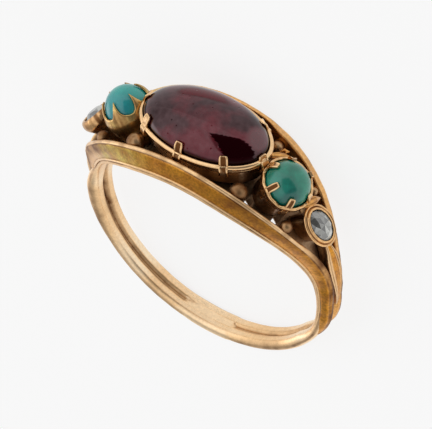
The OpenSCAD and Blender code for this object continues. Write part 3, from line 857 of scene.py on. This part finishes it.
def claw_tree():
    """Geometry nodes that lay a bar with a hollowed, darkened back along each line of a mesh."""
    measures = {"Width": 0.58, "Thickness": 0.17, "Corner": 0.05, "Hollow": 0.026}
    inputs = {"Lines": "Geometry", **measures, "Metal": "Material"}
    tree, node, given = new_tree("claws_along_lines", inputs)
    taper, hollow, dark = (
        node("GeometryNodeInputNamedAttribute", {"Name": label}, data_type="FLOAT")
        for label in ("taper", "hollow", "dark")
    )
    curve = node("GeometryNodeMeshToCurve", {"Mesh": given["Lines"]})
    upright = node("GeometryNodeSetCurveNormal", {"Curve": curve}, mode="Z_UP")
    bar = node(
        "GeometryNodeCurvePrimitiveQuadrilateral", {"Width": given["Width"], "Height": given["Thickness"]}
    )
    filleted = {"Curve": bar, "Radius": given["Corner"], "Count": 3}
    soft = node("GeometryNodeFilletCurve", filleted, mode="POLY")
    fine = node("GeometryNodeResampleCurve", {"Curve": soft, "Count": 44}, mode="COUNT")
    place = node("ShaderNodeSeparateXYZ", (node("GeometryNodeInputPosition"),)).node.outputs
    aside = node("ShaderNodeMath", (place["X"],), operation="ABSOLUTE")
    share = node("ShaderNodeMath", (aside, given["Width"]), operation="DIVIDE")
    middle = node("ShaderNodeMapRange", (share, 0.33, 0.25), interpolation_type="SMOOTHSTEP")
    # The outward side of the bar is where y is below nothing
    outward = node("ShaderNodeMath", (place["Y"], 0.0), operation="LESS_THAN")
    dent = node("ShaderNodeMath", (middle, outward), operation="MULTIPLY")
    down = node("ShaderNodeMath", (dent, given["Hollow"]), operation="MULTIPLY")
    offset = node("ShaderNodeCombineXYZ", {"Y": down})
    hollowed = {"Geometry": fine, "Name": "hollow", "Value": dent}
    marked = node("GeometryNodeStoreNamedAttribute", hollowed, data_type="FLOAT", domain="POINT")
    profile = node("GeometryNodeSetPosition", {"Geometry": marked, "Offset": offset})
    bars = node(
        "GeometryNodeCurveToMesh",
        {"Curve": upright, "Profile Curve": profile, "Scale": taper, "Fill Caps": True},
    )
    film = node("ShaderNodeMath", (hollow, dark), operation="MULTIPLY")
    darkened = {"Geometry": bars, "Name": "film", "Value": film}
    filmed = node("GeometryNodeStoreNamedAttribute", darkened, data_type="FLOAT", domain="POINT")
    return close_tree(tree, filmed, given["Metal"])


def claws(name, lines, shades, width, thick):
    """A plain mesh of claws along lines, still in the setting's own millimetres. shades says how
    dark each claw's hollow is."""
    edges, taper, dark = [], [], []
    for line, shade in zip(lines, shades):
        dark += [shade] * (len(line) - 1) + [0.0]
        edges += [(len(taper) + i, len(taper) + i + 1) for i in range(len(line) - 1)]
        taper += [1.0] * (len(line) - len(CLAW_TIP)) + CLAW_TIP
    tree = bpy.data.node_groups.get("claws_along_lines") or claw_tree()
    given = {
        "Width": width,
        "Thickness": thick,
        "Corner": min(0.05, thick * 0.35),
        "Hollow": 0.15 * thick,
        "Metal": gold(BRIGHT),
    }
    points = np.concatenate(lines).tolist()
    return grown(name, points, edges, {"taper": taper, "dark": dark}, tree, given)


# Claws of the right turquoise: how far each reaches up its dome in degrees, and how dark its hollow is
CUP_CLAWS = [(30, 0.3), (38, 1.3), (42, 1.5), (40, 0.4), (34, 0.3), (30, 0.3)]
# How far each cup is turned about its own axis, in degrees
CUP_TURN = {LEFT: 10, RIGHT: -4}
# By degrees from the nearest claw: how far up the dome each cup reaches
CUP_REACH = {
    LEFT: ([0, 3, 6, 10, 14, 20, 30], [47, 38, 28, 19, 13, 10, 9]),
    RIGHT: ([0, 6, 12, 18, 30], [13, 12, 8, 6, 8]),
}
# Outside of each cup below its edge. Columns: distance out from the stone's widest line, height, film
CUP_BELOW = {
    LEFT: [
        (-0.25, -2.30, 0.9), (-0.02, -1.45, 1.0), (0.12, -1.05, 0.9), (0.19, -0.85, 0.8),
        (0.23, -0.66, 0.75), (0.26, -0.48, 0.7), (0.27, -0.32, 0.6), (0.28, -0.20, 0.5),
        (0.27, -0.10, 0.5), (0.24, -0.03, 0.4),
    ],
    RIGHT: [
        (-0.25, -2.30, 0.9), (-0.06, -1.00, 0.9), (0.05, -0.64, 0.8), (0.10, -0.56, 0.3), (0.12, -0.49, 0.2),
        (0.10, -0.42, 0.8), (0.17, -0.29, 0.4), (0.24, -0.18, 0.1), (0.26, -0.10, 0.0), (0.23, -0.03, 0.1),
    ],
}
# The cups' edges. Columns: share of the reach, distance out from the dome, film
CUP_ABOVE = [
    (0.30, 0.21, 0.3), (0.60, 0.20, 0.15), (0.85, 0.19, 0.0), (0.96, 0.16, 0.0),
    (1.00, 0.11, 0.0), (0.97, 0.055, 0.3), (0.70, 0.045, 1.0), (0.35, 0.045, 1.0),
]
# The cups' inside. Columns as for the outside
CUP_INSIDE = [(0.03, -0.30, 1.0), (0.03, -0.60, 1.0), (-0.12, -0.95, 1.0)]


def turquoise_dome(side):
    """Rise of a turquoise above its rim."""
    return sizes().turquoise_dome + (TURQUOISE_RAISE if side == LEFT else 0)


def turquoise_cup(side):
    """Cup with a flared ridge and a lip that closes on the stone."""
    r, dome = sizes().turquoise_diameter / 2, turquoise_dome(side)
    angle = np.linspace(0, 360, 216, endpoint=False)[:, None]
    turn = np.radians(angle + CUP_TURN[side])
    from_claw = np.abs((angle + 30) % 60 - 30)
    reach = np.radians(np.interp(from_claw, *CUP_REACH[side]) + 2.5 * wander(angle, 30 + side, 75))
    # The right cup's edge is thicker
    above = np.array(CUP_ABOVE) * (1, 1.3 if side == RIGHT else 1, 1)
    walls = [(r + off + 0 * reach, high + 0 * reach) for off, high, _ in CUP_BELOW[side]]
    walls += [
        ((r + off) * np.cos(reach * part), (dome + off) * np.sin(reach * part)) for part, off, _ in above
    ]
    walls += [(r + off + 0 * reach, high + 0 * reach) for off, high, _ in CUP_INSIDE]
    out, high = (np.concatenate(parts, 1) for parts in zip(*walls))
    rings = np.stack([out * np.cos(turn), out * np.sin(turn), TURQUOISE_RIM + high], -1)
    film = np.array([row[2] for row in [*CUP_BELOW[side], *CUP_ABOVE, *CUP_INSIDE]])
    streaks = smooth(0.5 + wander(angle, 61 + side, 24)) * (0.45 if side == LEFT else 0.3)
    return rings, np.clip(film + streaks, 0, 1)


# Balls, two of each row in front and two at the back. Columns: angle from the head's middle, height
# above the finger's axis, place along it, radius
GRANULES = [(22.3, 10.15, 2.33, 0.62), (42.9, 10.22, 1.75, 0.43)]
# The worn ones at the back right: share of the radius, and how many radii lower they lie
GRANULE_WORN, GRANULE_DROP = 0.72, 0.6
# How far the balls lie to the back, and how tarnished they are
GRANULE_BACK, GRANULE_FILM = 0.13, 0.92
# Corners of a diamond's table, stars, girdle and culet. Columns: how many, angle of the first,
# share of the stone's size, height from the girdle
DIAMOND_LEVELS = [
    (8, 0, 0.50, 0.36), (8, 22.5, 0.74, 0.24), (16, 0, 0.985, -0.03), (16, 0, 0.985, -0.09),
    (8, 0, 0.12, -0.80),
]
# Middle lines of the small leaves. Columns: angle, height above the finger's axis, place along it,
# half width and half thickness
LEAVES = [
    [
        (40.9, 10.75, 0.25, 0.12, 0.10), (41.9, 10.98, -0.10, 0.26, 0.13),
        (42.6, 11.02, -0.50, 0.30, 0.14), (43.4, 10.95, -0.90, 0.24, 0.12),
        (44.6, 10.75, -1.35, 0.06, 0.06),
    ],
    [
        (21.4, 10.45, -0.70, 0.08, 0.06), (22.9, 10.82, -0.95, 0.20, 0.10),
        (24.9, 10.80, -1.35, 0.26, 0.11), (26.8, 10.62, -1.80, 0.18, 0.10),
        (28.4, 10.35, -2.15, 0.05, 0.05),
    ],
    [
        (24.2, 10.25, -1.90, 0.06, 0.06), (25.4, 10.42, -2.15, 0.20, 0.14),
        (26.8, 10.30, -2.40, 0.06, 0.06),
    ],
]


def small_leaf(rows):
    """A leaf drawn along a middle line, with a raised rib and a brown hollow on each side of it."""
    rows = np.array(rows)
    step = np.linspace(0, len(rows) - 1, 8 * len(rows))
    angle, height, across, half, thick = (np.interp(step, np.arange(len(rows)), c) for c in rows.T)
    middle = polar(angle, height, across)
    along = np.gradient(middle, axis=0)
    along /= np.linalg.norm(along, axis=1)[:, None]
    out = polar(angle, 1.0, 0.0)
    aside = np.cross(along, out)
    aside /= np.linalg.norm(aside, axis=1)[:, None]
    around = np.linspace(0, 2 * np.pi, 24, endpoint=False)[None, :, None]
    rib = 1 + 0.5 * np.exp(-((np.cos(around) / 0.25) ** 2)) * (np.sin(around) > 0)
    rings = middle[:, None] + aside[:, None] * half[:, None, None] * np.cos(around)
    rings = rings + out[:, None] * thick[:, None, None] * np.sin(around) * rib
    sides = np.abs(np.cos(around[0, :, 0]))
    return rings, 0.7 * np.exp(-(((sides - 0.5) / 0.2) ** 2))


def granule_tree():
    """Geometry nodes that set a slightly uneven ball on each point of a mesh."""
    tree, node, given = new_tree(
        "balls_on_points",
        {"Points": "Geometry", "Segments": 40, "Unevenness": 0.03, "Seed": 5, "Metal": "Material"},
    )
    round_ball = {"Segments": given["Segments"], "Rings": 20, "Radius": 1.0}
    ball = node("GeometryNodeMeshUVSphere", round_ball, "Mesh")
    radius = node("GeometryNodeInputNamedAttribute", {"Name": "radius"}, data_type="FLOAT")
    least = node("ShaderNodeMath", (1.0, given["Unevenness"]), operation="SUBTRACT")
    low = node("ShaderNodeCombineXYZ", (least, least, least))
    between = {0: low, 1: (1.0, 1.0, 1.0), "Seed": given["Seed"]}
    uneven = node("FunctionNodeRandomValue", between, data_type="FLOAT_VECTOR")
    scale = node("ShaderNodeVectorMath", {0: uneven, "Scale": radius}, operation="SCALE")
    set_on = {"Points": given["Points"], "Instance": ball, "Scale": scale}
    placed = node("GeometryNodeInstanceOnPoints", set_on)
    return close_tree(tree, placed, given["Metal"])


def cabochon(half_l, half_w, rise, rim, deep, count):
    """Rings of a cabochon: a half ellipsoid over a base that tapers into its collet. Also the
    angles round it and up it."""
    angle = np.linspace(0, 2 * np.pi, count, endpoint=False)[None, :]
    up = np.radians(np.concatenate([[0], np.linspace(0, 89.4, 60)]))[:, None]
    shrink, high = np.cos(up), rim + rise * np.sin(up)
    shrink[0], high[0] = 0.88, rim - deep
    flat = [half_l * shrink * np.cos(angle), half_w * shrink * np.sin(angle), high + 0 * angle]
    return np.stack(flat, -1), np.degrees(angle), np.degrees(up)


# The garnet's clear part, where no haze lies under the gloss. Columns: angle up the dome, and the
# angles round it where the part starts and stops
CLEAR_PART = [
    (-5, 18, 50), (9, 20, 50), (22, 15, 51), (34, 14, 52), (42, 19, 54), (49, 30, 58), (53, 50, 61)
]


def garnet_zones(angle, up):
    """How much duller than the rest each point of the garnet is, negative where a grey veil lies,
    and how red it glows."""
    start, stop = columns(CLEAR_PART, up)
    start, stop = start + 2 * wander(up, 51, 9), stop + 1.5 * wander(up, 52, 7)
    clear = smooth((angle - start) / 3 + 0.5) * smooth((stop - angle) / 3 + 0.5) * smooth((54 - up) / 2)

    def patch(at, wide, high, tall):
        return np.exp(-((wrapped(angle - at) / wide) ** 2) - ((up - high) / tall) ** 2)

    band = smooth(2.6 * patch(245, 52, 60, 13) - 0.6)
    corner = 0.5 * patch(143, 13, 30, 22) + 0.45 * patch(322, 22, 34, 18)
    veil = smooth(1.6 * patch(354, 20, 28, 15) - 0.2) * (1 - clear)
    rim = 0.8 * smooth((15 - up) / 13)
    return 1.4 * clear + 1.1 * band + corner + rim - 1.3 * veil, np.maximum(band, 0.03)


# Operators


class RING_OT_shank(bpy.types.Operator):
    """The two reeds, which run on under the head, and the plain sizing piece at the back"""

    bl_idname = "ring.shank"
    bl_label = "Shank"

    def execute(self, context):
        for side, name in FACES:
            Shape().loft(*lower_band(side), round_trip=True).build("reed_" + name, gold(SATIN))
        Shape().loft(*sizing_piece()).build("sizing_piece", gold(SATIN))
        Shape().loft(*groove_solder()).build("groove_solder", gold(SATIN))
        return {"FINISHED"}


class RING_OT_rails(bpy.types.Operator):
    """The moulded rails in front of and behind the stones"""

    bl_idname = "ring.rails"
    bl_label = "Rails"

    def execute(self, context):
        for side, name in FACES:
            Shape().loft(*moulding(side)).build("rail_" + name, gold(PITTED))
        return {"FINISHED"}


class RING_OT_floors(bpy.types.Operator):
    """The pierced floor of the head, the floors of the shoulders and their leaves"""

    bl_idname = "ring.floors"
    bl_label = "Floors and leaves"

    def execute(self, context):
        head_floor().build("head_floor", gold(DULL))
        for side, name in SIDES:
            Shape().loft(shoulder_floor(side)).build("shoulder_floor_" + name, gold(DULL))
            Shape().loft(*shoulder_leaf(side)).build("shoulder_leaf_" + name, gold(PITTED))
        return {"FINISHED"}


class RING_OT_garnet_setting(bpy.types.Operator):
    """The garnet's oval collet and its claws"""

    bl_idname = "ring.garnet_setting"
    bl_label = "Garnet setting"

    def execute(self, context):
        s = sizes()
        half_l, half_w = s.garnet_length / 2, s.garnet_width / 2
        rings, film = collet(GARNET_COLLET, half_l, half_w, GARNET_RIM, 300)
        placed = on_head(GARNET_ANGLE, rings, GARNET_BACK)
        Shape().loft(placed, film, round_trip=True).build("garnet_collet", gold(BRIGHT))
        for name, rows, width, thick in (
            ("garnet_claws", FRONT_CLAWS, s.claw_width, s.claw_thickness),
            ("garnet_claws_back", BACK_CLAWS, 0.9 * s.claw_width, 0.1),
        ):
            lines = [claw_line(half_l, half_w, s.garnet_dome, at, reach, thick) for at, reach, _ in rows]
            mesh = claws(name, lines, [dark for _, _, dark in rows], width, thick)
            put_in_place(mesh, lambda p: on_head(GARNET_ANGLE, p + (0, 0, GARNET_RIM), GARNET_BACK))
            finish_piece(name, mesh)
        return {"FINISHED"}


class RING_OT_turquoise_settings(bpy.types.Operator):
    """The two turquoise cups, the right one with narrow claws"""

    bl_idname = "ring.turquoise_settings"
    bl_label = "Turquoise settings"

    def execute(self, context):
        s = sizes()
        for side, name in SIDES:
            rings, film = turquoise_cup(side)
            placed = on_head(side * TURQUOISE_ANGLE, rings)
            cup = Shape().loft(placed, film, 0.5 if side == LEFT else 0.2, round_trip=True)
            cup.build("turquoise_cup_" + name, gold(BRIGHT))
        r, dome = s.turquoise_diameter / 2, s.turquoise_dome
        width, thick = 0.44, 0.2
        lines = [
            claw_line(r, r, dome, 60 * i + CUP_TURN[RIGHT], reach, thick, foot=0.62)
            for i, (reach, _) in enumerate(CUP_CLAWS)
        ]
        mesh = claws("turquoise_claws_right", lines, [dark for _, dark in CUP_CLAWS], width, thick)
        put_in_place(mesh, lambda p: on_head(TURQUOISE_ANGLE, p + (0, 0, TURQUOISE_RIM)))
        finish_piece("turquoise_claws_right", mesh)
        return {"FINISHED"}


class RING_OT_diamond_settings(bpy.types.Operator):
    """The two stepped diamond collets"""

    bl_idname = "ring.diamond_settings"
    bl_label = "Diamond settings"

    def execute(self, context):
        s, count = sizes(), 120
        dirt = 0.7 * smooth(0.8 + wander(np.linspace(0, 360, count)[:, None], 71, 40))
        for side, name in SIDES:
            half_l, half_w, girdle = s.diamond_length / 2, s.diamond_width / 2, GIRDLE[side]
            rings, film = collet(DIAMOND_COLLET[side], half_l, half_w, girdle, count)
            worn = np.clip(film + (dirt if side == LEFT else 0), 0, 1)
            placed = Shape().loft(on_head(side * DIAMOND_ANGLE, rings), worn, 0.3, round_trip=True)
            placed.build("diamond_collet_" + name, gold(BRIGHT))
        return {"FINISHED"}


class RING_OT_leaves(bpy.types.Operator):
    """The small gold leaves that fill the corners beside the right turquoise"""

    bl_idname = "ring.leaves"
    bl_label = "Leaves"

    def execute(self, context):
        shape = Shape()
        for rows in LEAVES:
            shape.loft(*small_leaf(rows), old=0.7)
        shape.build("leaves", gold(BRIGHT))
        return {"FINISHED"}


class RING_OT_granules(bpy.types.Operator):
    """The balls in the corners between the collets and the rails"""

    bl_idname = "ring.granules"
    bl_label = "Granules"

    def execute(self, context):
        points, radii = [], []
        for angle, height, place, radius in GRANULES:
            for side, face in ((LEFT, BACK), (RIGHT, BACK), (LEFT, FRONT), (RIGHT, FRONT)):
                worn, drop = (GRANULE_WORN, GRANULE_DROP) if (side, face) == (RIGHT, BACK) else (1, 0)
                where = polar(side * angle, height - drop * radius, face * place - GRANULE_BACK)
                points.append(where.tolist())
                radii.append(radius * worn)
        given = {"Segments": 40, "Seed": 5, "Metal": gold(BRIGHT)}
        mesh = grown("granules", points, [], {"radius": radii}, granule_tree(), given)
        mesh.polygons.foreach_set("use_smooth", np.ones(len(mesh.polygons), bool))
        film = mesh.attributes.new("film", "FLOAT", "POINT")
        film.data.foreach_set("value", np.full(len(mesh.vertices), GRANULE_FILM))
        finish_piece("granules", put_in_place(mesh, lambda p: p))
        return {"FINISHED"}


class RING_OT_cabochons(bpy.types.Operator):
    """The garnet and the two turquoises"""

    bl_idname = "ring.cabochons"
    bl_label = "Cabochons"

    def execute(self, context):
        s, c = sizes(), colours()
        half_l, half_w = s.garnet_length / 2, s.garnet_width / 2
        rings, angle, up = cabochon(half_l, half_w, s.garnet_dome, GARNET_RIM, 1.0, 200)
        placed = on_head(GARNET_ANGLE, rings, GARNET_BACK)
        garnet = Shape().loft(placed, *garnet_zones(angle, up))
        garnet.build("garnet", garnet_material(), "garnet", "garnet_cabochon")
        r = s.turquoise_diameter / 2
        for side, name, body, light, most in (
            (LEFT, "turquoise_left", c.turquoise_left, linear("#28A096"), 0.28),
            (RIGHT, "turquoise_right", c.turquoise_right, linear("#1F8C72"), 0.1),
        ):
            rings = cabochon(r, r, turquoise_dome(side), TURQUOISE_RIM, 0.92, 120)[0]
            blue = smooth((rings[..., 1] + 0.2) / r) * most
            stone = Shape().loft(on_head(side * TURQUOISE_ANGLE, rings), 0.0, blue)
            material = turquoise_material("polished_" + name, body, light)
            stone.build("stone_" + name, material, "turquoise", name)
        return {"FINISHED"}


class RING_OT_diamonds(bpy.types.Operator):
    """The two old cut diamonds, facet by facet"""

    bl_idname = "ring.diamonds"
    bl_label = "Diamonds"

    def execute(self, context):
        material = diamond_material()
        half = np.array([sizes().diamond_length / 2, sizes().diamond_width / 2])
        rings = []
        for count, first, share, high in DIAMOND_LEVELS:
            turn = np.radians(first + 360 / count * np.arange(count))[:, None]
            flat = share * half * np.concatenate([np.cos(turn), np.sin(turn)], 1)
            rings.append(np.concatenate([flat, np.full((count, 1), high)], 1))
        points = np.concatenate([*rings, [[0, 0, DIAMOND_LEVELS[0][3]]]])
        # The first corner of each level, and the middle of the table
        table, star, girdle, under, culet, middle = 0, 8, 16, 32, 48, 56
        faces = [list(range(culet, middle))]
        shades = [0.2]
        for k in range(8):
            n, g, after = (k + 1) % 8, girdle + 2 * k, girdle + (2 * k + 2) % 16
            faces += [
                [table + k, table + n, middle],
                [table + k, star + k, table + n],
                [table + k, star + (k - 1) % 8, g, star + k],
                [star + k, g, g + 1],
                [star + k, g + 1, after],
                [g + 16, g + 17, culet + k],
                [g + 17, after + 16, culet + n, culet + k],
            ]
            shades += [(0.62, 0.08)[k % 2], 0.45, (0.85, 0.15)[k % 2], (0.1, 0.7)[k % 2], 0.4, 0.3, 0.4]
        faces += [[girdle + j, under + j, under + (j + 1) % 16, girdle + (j + 1) % 16] for j in range(16)]
        shades += [0.5] * 16
        middles = np.array([points[face].mean(0) for face in faces]) / (*half, 1)
        toward_light = smooth(0.35 + 0.75 * (middles[:, 0] - 0.6 * middles[:, 1]))
        for side, name, darker in ((LEFT, "diamond_left", 0.3), (RIGHT, "diamond_right", 0.08)):
            mesh = bpy.data.meshes.new(name)
            placed = laid(on_head(side * DIAMOND_ANGLE, points + (0, 0, GIRDLE[side])))
            mesh.from_pydata(placed.tolist(), [], faces)
            draw = np.random.default_rng(7 + side).uniform(-0.2, 0.2, len(faces))
            tone = np.array(shades) * 0.55 + draw + 0.55 * toward_light - darker
            shade = mesh.attributes.new("shade", "FLOAT", "FACE")
            shade.data.foreach_set("value", np.clip(tone, 0.03, 0.85))
            mesh.materials.append(material)
            finish_piece("stone_" + name, mesh, name)
        return {"FINISHED"}


# The room, the table and the camera

# Corners, as azimuth and elevation, of the dark opening that the stones and the gold reflect
DARK_SIDE = [(100, 26), (72, 62), (2, 60), (8, 6), (76, 4)]
# Softer patches of the room. Columns: azimuth, elevation, inner and outer radius in degrees, brightness
ROOM_PATCHES = [(125, 35, 20, 60, 1.2), (258, 38, 14, 30, 0.4), (205, 15, 8, 20, 1.8)]
ROOM_BRIGHTNESS = 0.88
HORIZON_BRIGHTNESS = 1.1
DARK_SIDE_BRIGHTNESS = 0.22
# Where the brighter horizon starts and is full, by the sine of the elevation, and where the dark
# opening's soft edge does, by the sine of the angle from its side
HORIZON = (0.3, 0.08)
DARK_EDGE = (-0.03, 0.04)
# Camera: lens in millimetres on the usual 36 mm sensor, aim and distance in millimetres
CAMERA_LENS = 163.43
CAMERA_AIM = (-0.384, -0.310, 1.128)
CAMERA_DISTANCE = 130.0
CAMERA_AZIMUTH = 61.558
CAMERA_ELEVATION = 38.416
CAMERA_ROLL = -134.918
# The table, in metres. It lies just below the ring, so that they don't touch
TABLE_HALF = 0.5
TABLE_TOP = -0.00002


def direction(azimuth, elevation):
    a, e = math.radians(azimuth), math.radians(elevation)
    return Vector((math.cos(a) * math.cos(e), math.sin(a) * math.cos(e), math.sin(e)))


def studio_world():
    """An even white tent, with softer patches and a dark opening on the camera's side."""
    world = bpy.data.worlds.new("white_tent")
    world.use_nodes = True
    world.node_tree.nodes.clear()
    node = partial(add, world.node_tree)
    toward = node("ShaderNodeTexCoord", out="Generated")
    low = node("ShaderNodeMapRange", (node("ShaderNodeSeparateXYZ", (toward,), "Z"), *HORIZON))
    tone = node("ShaderNodeMix", {0: low, 2: ROOM_BRIGHTNESS, 3: HORIZON_BRIGHTNESS})
    # What the room is cut by. Columns: direction, and the cosines from it where the cut starts and
    # is full. First the patches, then a plane through each side of the dark opening
    cuts = [
        (direction(azimuth, elevation), math.cos(math.radians(outer)), math.cos(math.radians(inner)))
        for azimuth, elevation, inner, outer, _ in ROOM_PATCHES
    ]
    corners = [direction(*corner) for corner in DARK_SIDE]
    centre = sum(corners, Vector()).normalized()
    for one, other in zip(corners, corners[1:] + corners[:1]):
        normal = one.cross(other).normalized()
        if normal.dot(centre) < 0:
            normal.negate()
        cuts.append((normal, *DARK_EDGE))
    parts = []
    for aim, start, full in cuts:
        cosine = node("ShaderNodeVectorMath", (toward, aim), "Value", operation="DOT_PRODUCT")
        parts.append(node("ShaderNodeMapRange", (cosine, start, full), interpolation_type="SMOOTHSTEP"))
    for part, row in zip(parts, ROOM_PATCHES):
        tone = node("ShaderNodeMix", {0: part, 2: tone, 3: row[-1]})
    inside = 1.0
    for part in parts[len(ROOM_PATCHES) :]:
        inside = node("ShaderNodeMath", (inside, part), operation="MULTIPLY")
    tone = node("ShaderNodeMix", {0: inside, 2: tone, 3: DARK_SIDE_BRIGHTNESS})
    back = node("ShaderNodeBackground", {"Color": tone, "Strength": 1.0})
    node("ShaderNodeOutputWorld", {"Surface": back})
    bpy.context.scene.world = world


def make_camera():
    """The photograph's camera, turned about its own axis as the photograph is."""
    camera = bpy.data.cameras.new("camera")
    camera.lens = CAMERA_LENS
    camera.clip_start = 0.001
    camera.clip_end = 5
    made = bpy.data.objects.new("camera", camera)
    back = direction(CAMERA_AZIMUTH, CAMERA_ELEVATION)
    level = Vector((0, 0, 1)).cross(back).normalized()
    upright = back.cross(level)
    roll = math.radians(CAMERA_ROLL)
    right = math.cos(roll) * level + math.sin(roll) * upright
    turn = Matrix((right, back.cross(right), back)).transposed()
    made.rotation_euler = turn.to_euler()
    made.location = (Vector(CAMERA_AIM) + back * CAMERA_DISTANCE) * MM
    bpy.context.scene.collection.objects.link(made)
    bpy.context.scene.camera = made


class RING_OT_stage(bpy.types.Operator):
    """The pale table, the soft light and the camera"""

    bl_idname = "ring.stage"
    bl_label = "Stage"

    def execute(self, context):
        mesh = bpy.data.meshes.new("table")
        corners = [(x, y, TABLE_TOP) for x, y in TABLE_HALF * np.array([(-1, -1), (1, -1), (1, 1), (-1, 1)])]
        mesh.from_pydata(corners, [], [(0, 1, 2, 3)])
        # Opal acrylic lit from below: it stays even and pale, with hardly any shadow
        lit = {
            "Base Color": (0.14, 0.14, 0.14),
            "Emission Color": colours().table,
            "Emission Strength": 0.91,
            "Roughness": 0.9,
            "Specular IOR Level": 0.0,
        }
        mesh.materials.append(close_material(new_material("opal_acrylic_light_table")[0], lit))
        table = bpy.data.objects.new("table", mesh)
        context.scene.collection.objects.link(table)
        studio_world()
        make_camera()
        context.scene.view_settings.view_transform = "Standard"
        return {"FINISHED"}


class RING_PT_panel(bpy.types.Panel):
    """Lists the ring's pieces"""

    bl_idname = "RING_PT_panel"
    bl_label = "Antique ring"
    bl_space_type = "VIEW_3D"
    bl_region_type = "UI"
    bl_category = "Ring"

    def draw(self, context):
        for operator in OPERATORS:
            self.layout.operator(operator.bl_idname)


OPERATORS = [
    RING_OT_shank,
    RING_OT_rails,
    RING_OT_floors,
    RING_OT_garnet_setting,
    RING_OT_turquoise_settings,
    RING_OT_diamond_settings,
    RING_OT_leaves,
    RING_OT_granules,
    RING_OT_cabochons,
    RING_OT_diamonds,
    RING_OT_stage,
]
CLASSES = [RingSizes, RingColours, *OPERATORS, RING_PT_panel]


def register():
    for cls in CLASSES:
        bpy.utils.register_class(cls)
    bpy.types.Scene.ring_sizes = bpy.props.PointerProperty(type=RingSizes)
    bpy.types.Scene.ring_colours = bpy.props.PointerProperty(type=RingColours)


def unregister():
    del bpy.types.Scene.ring_colours
    del bpy.types.Scene.ring_sizes
    for cls in reversed(CLASSES):
        bpy.utils.unregister_class(cls)


def main():
    register()
    bpy.ops.ring.shank()
    bpy.ops.ring.rails()
    bpy.ops.ring.floors()
    bpy.ops.ring.garnet_setting()
    bpy.ops.ring.turquoise_settings()
    bpy.ops.ring.diamond_settings()
    bpy.ops.ring.leaves()
    bpy.ops.ring.granules()
    bpy.ops.ring.cabochons()
    bpy.ops.ring.diamonds()
    bpy.ops.ring.stage()


if __name__ == "__main__":
    main()
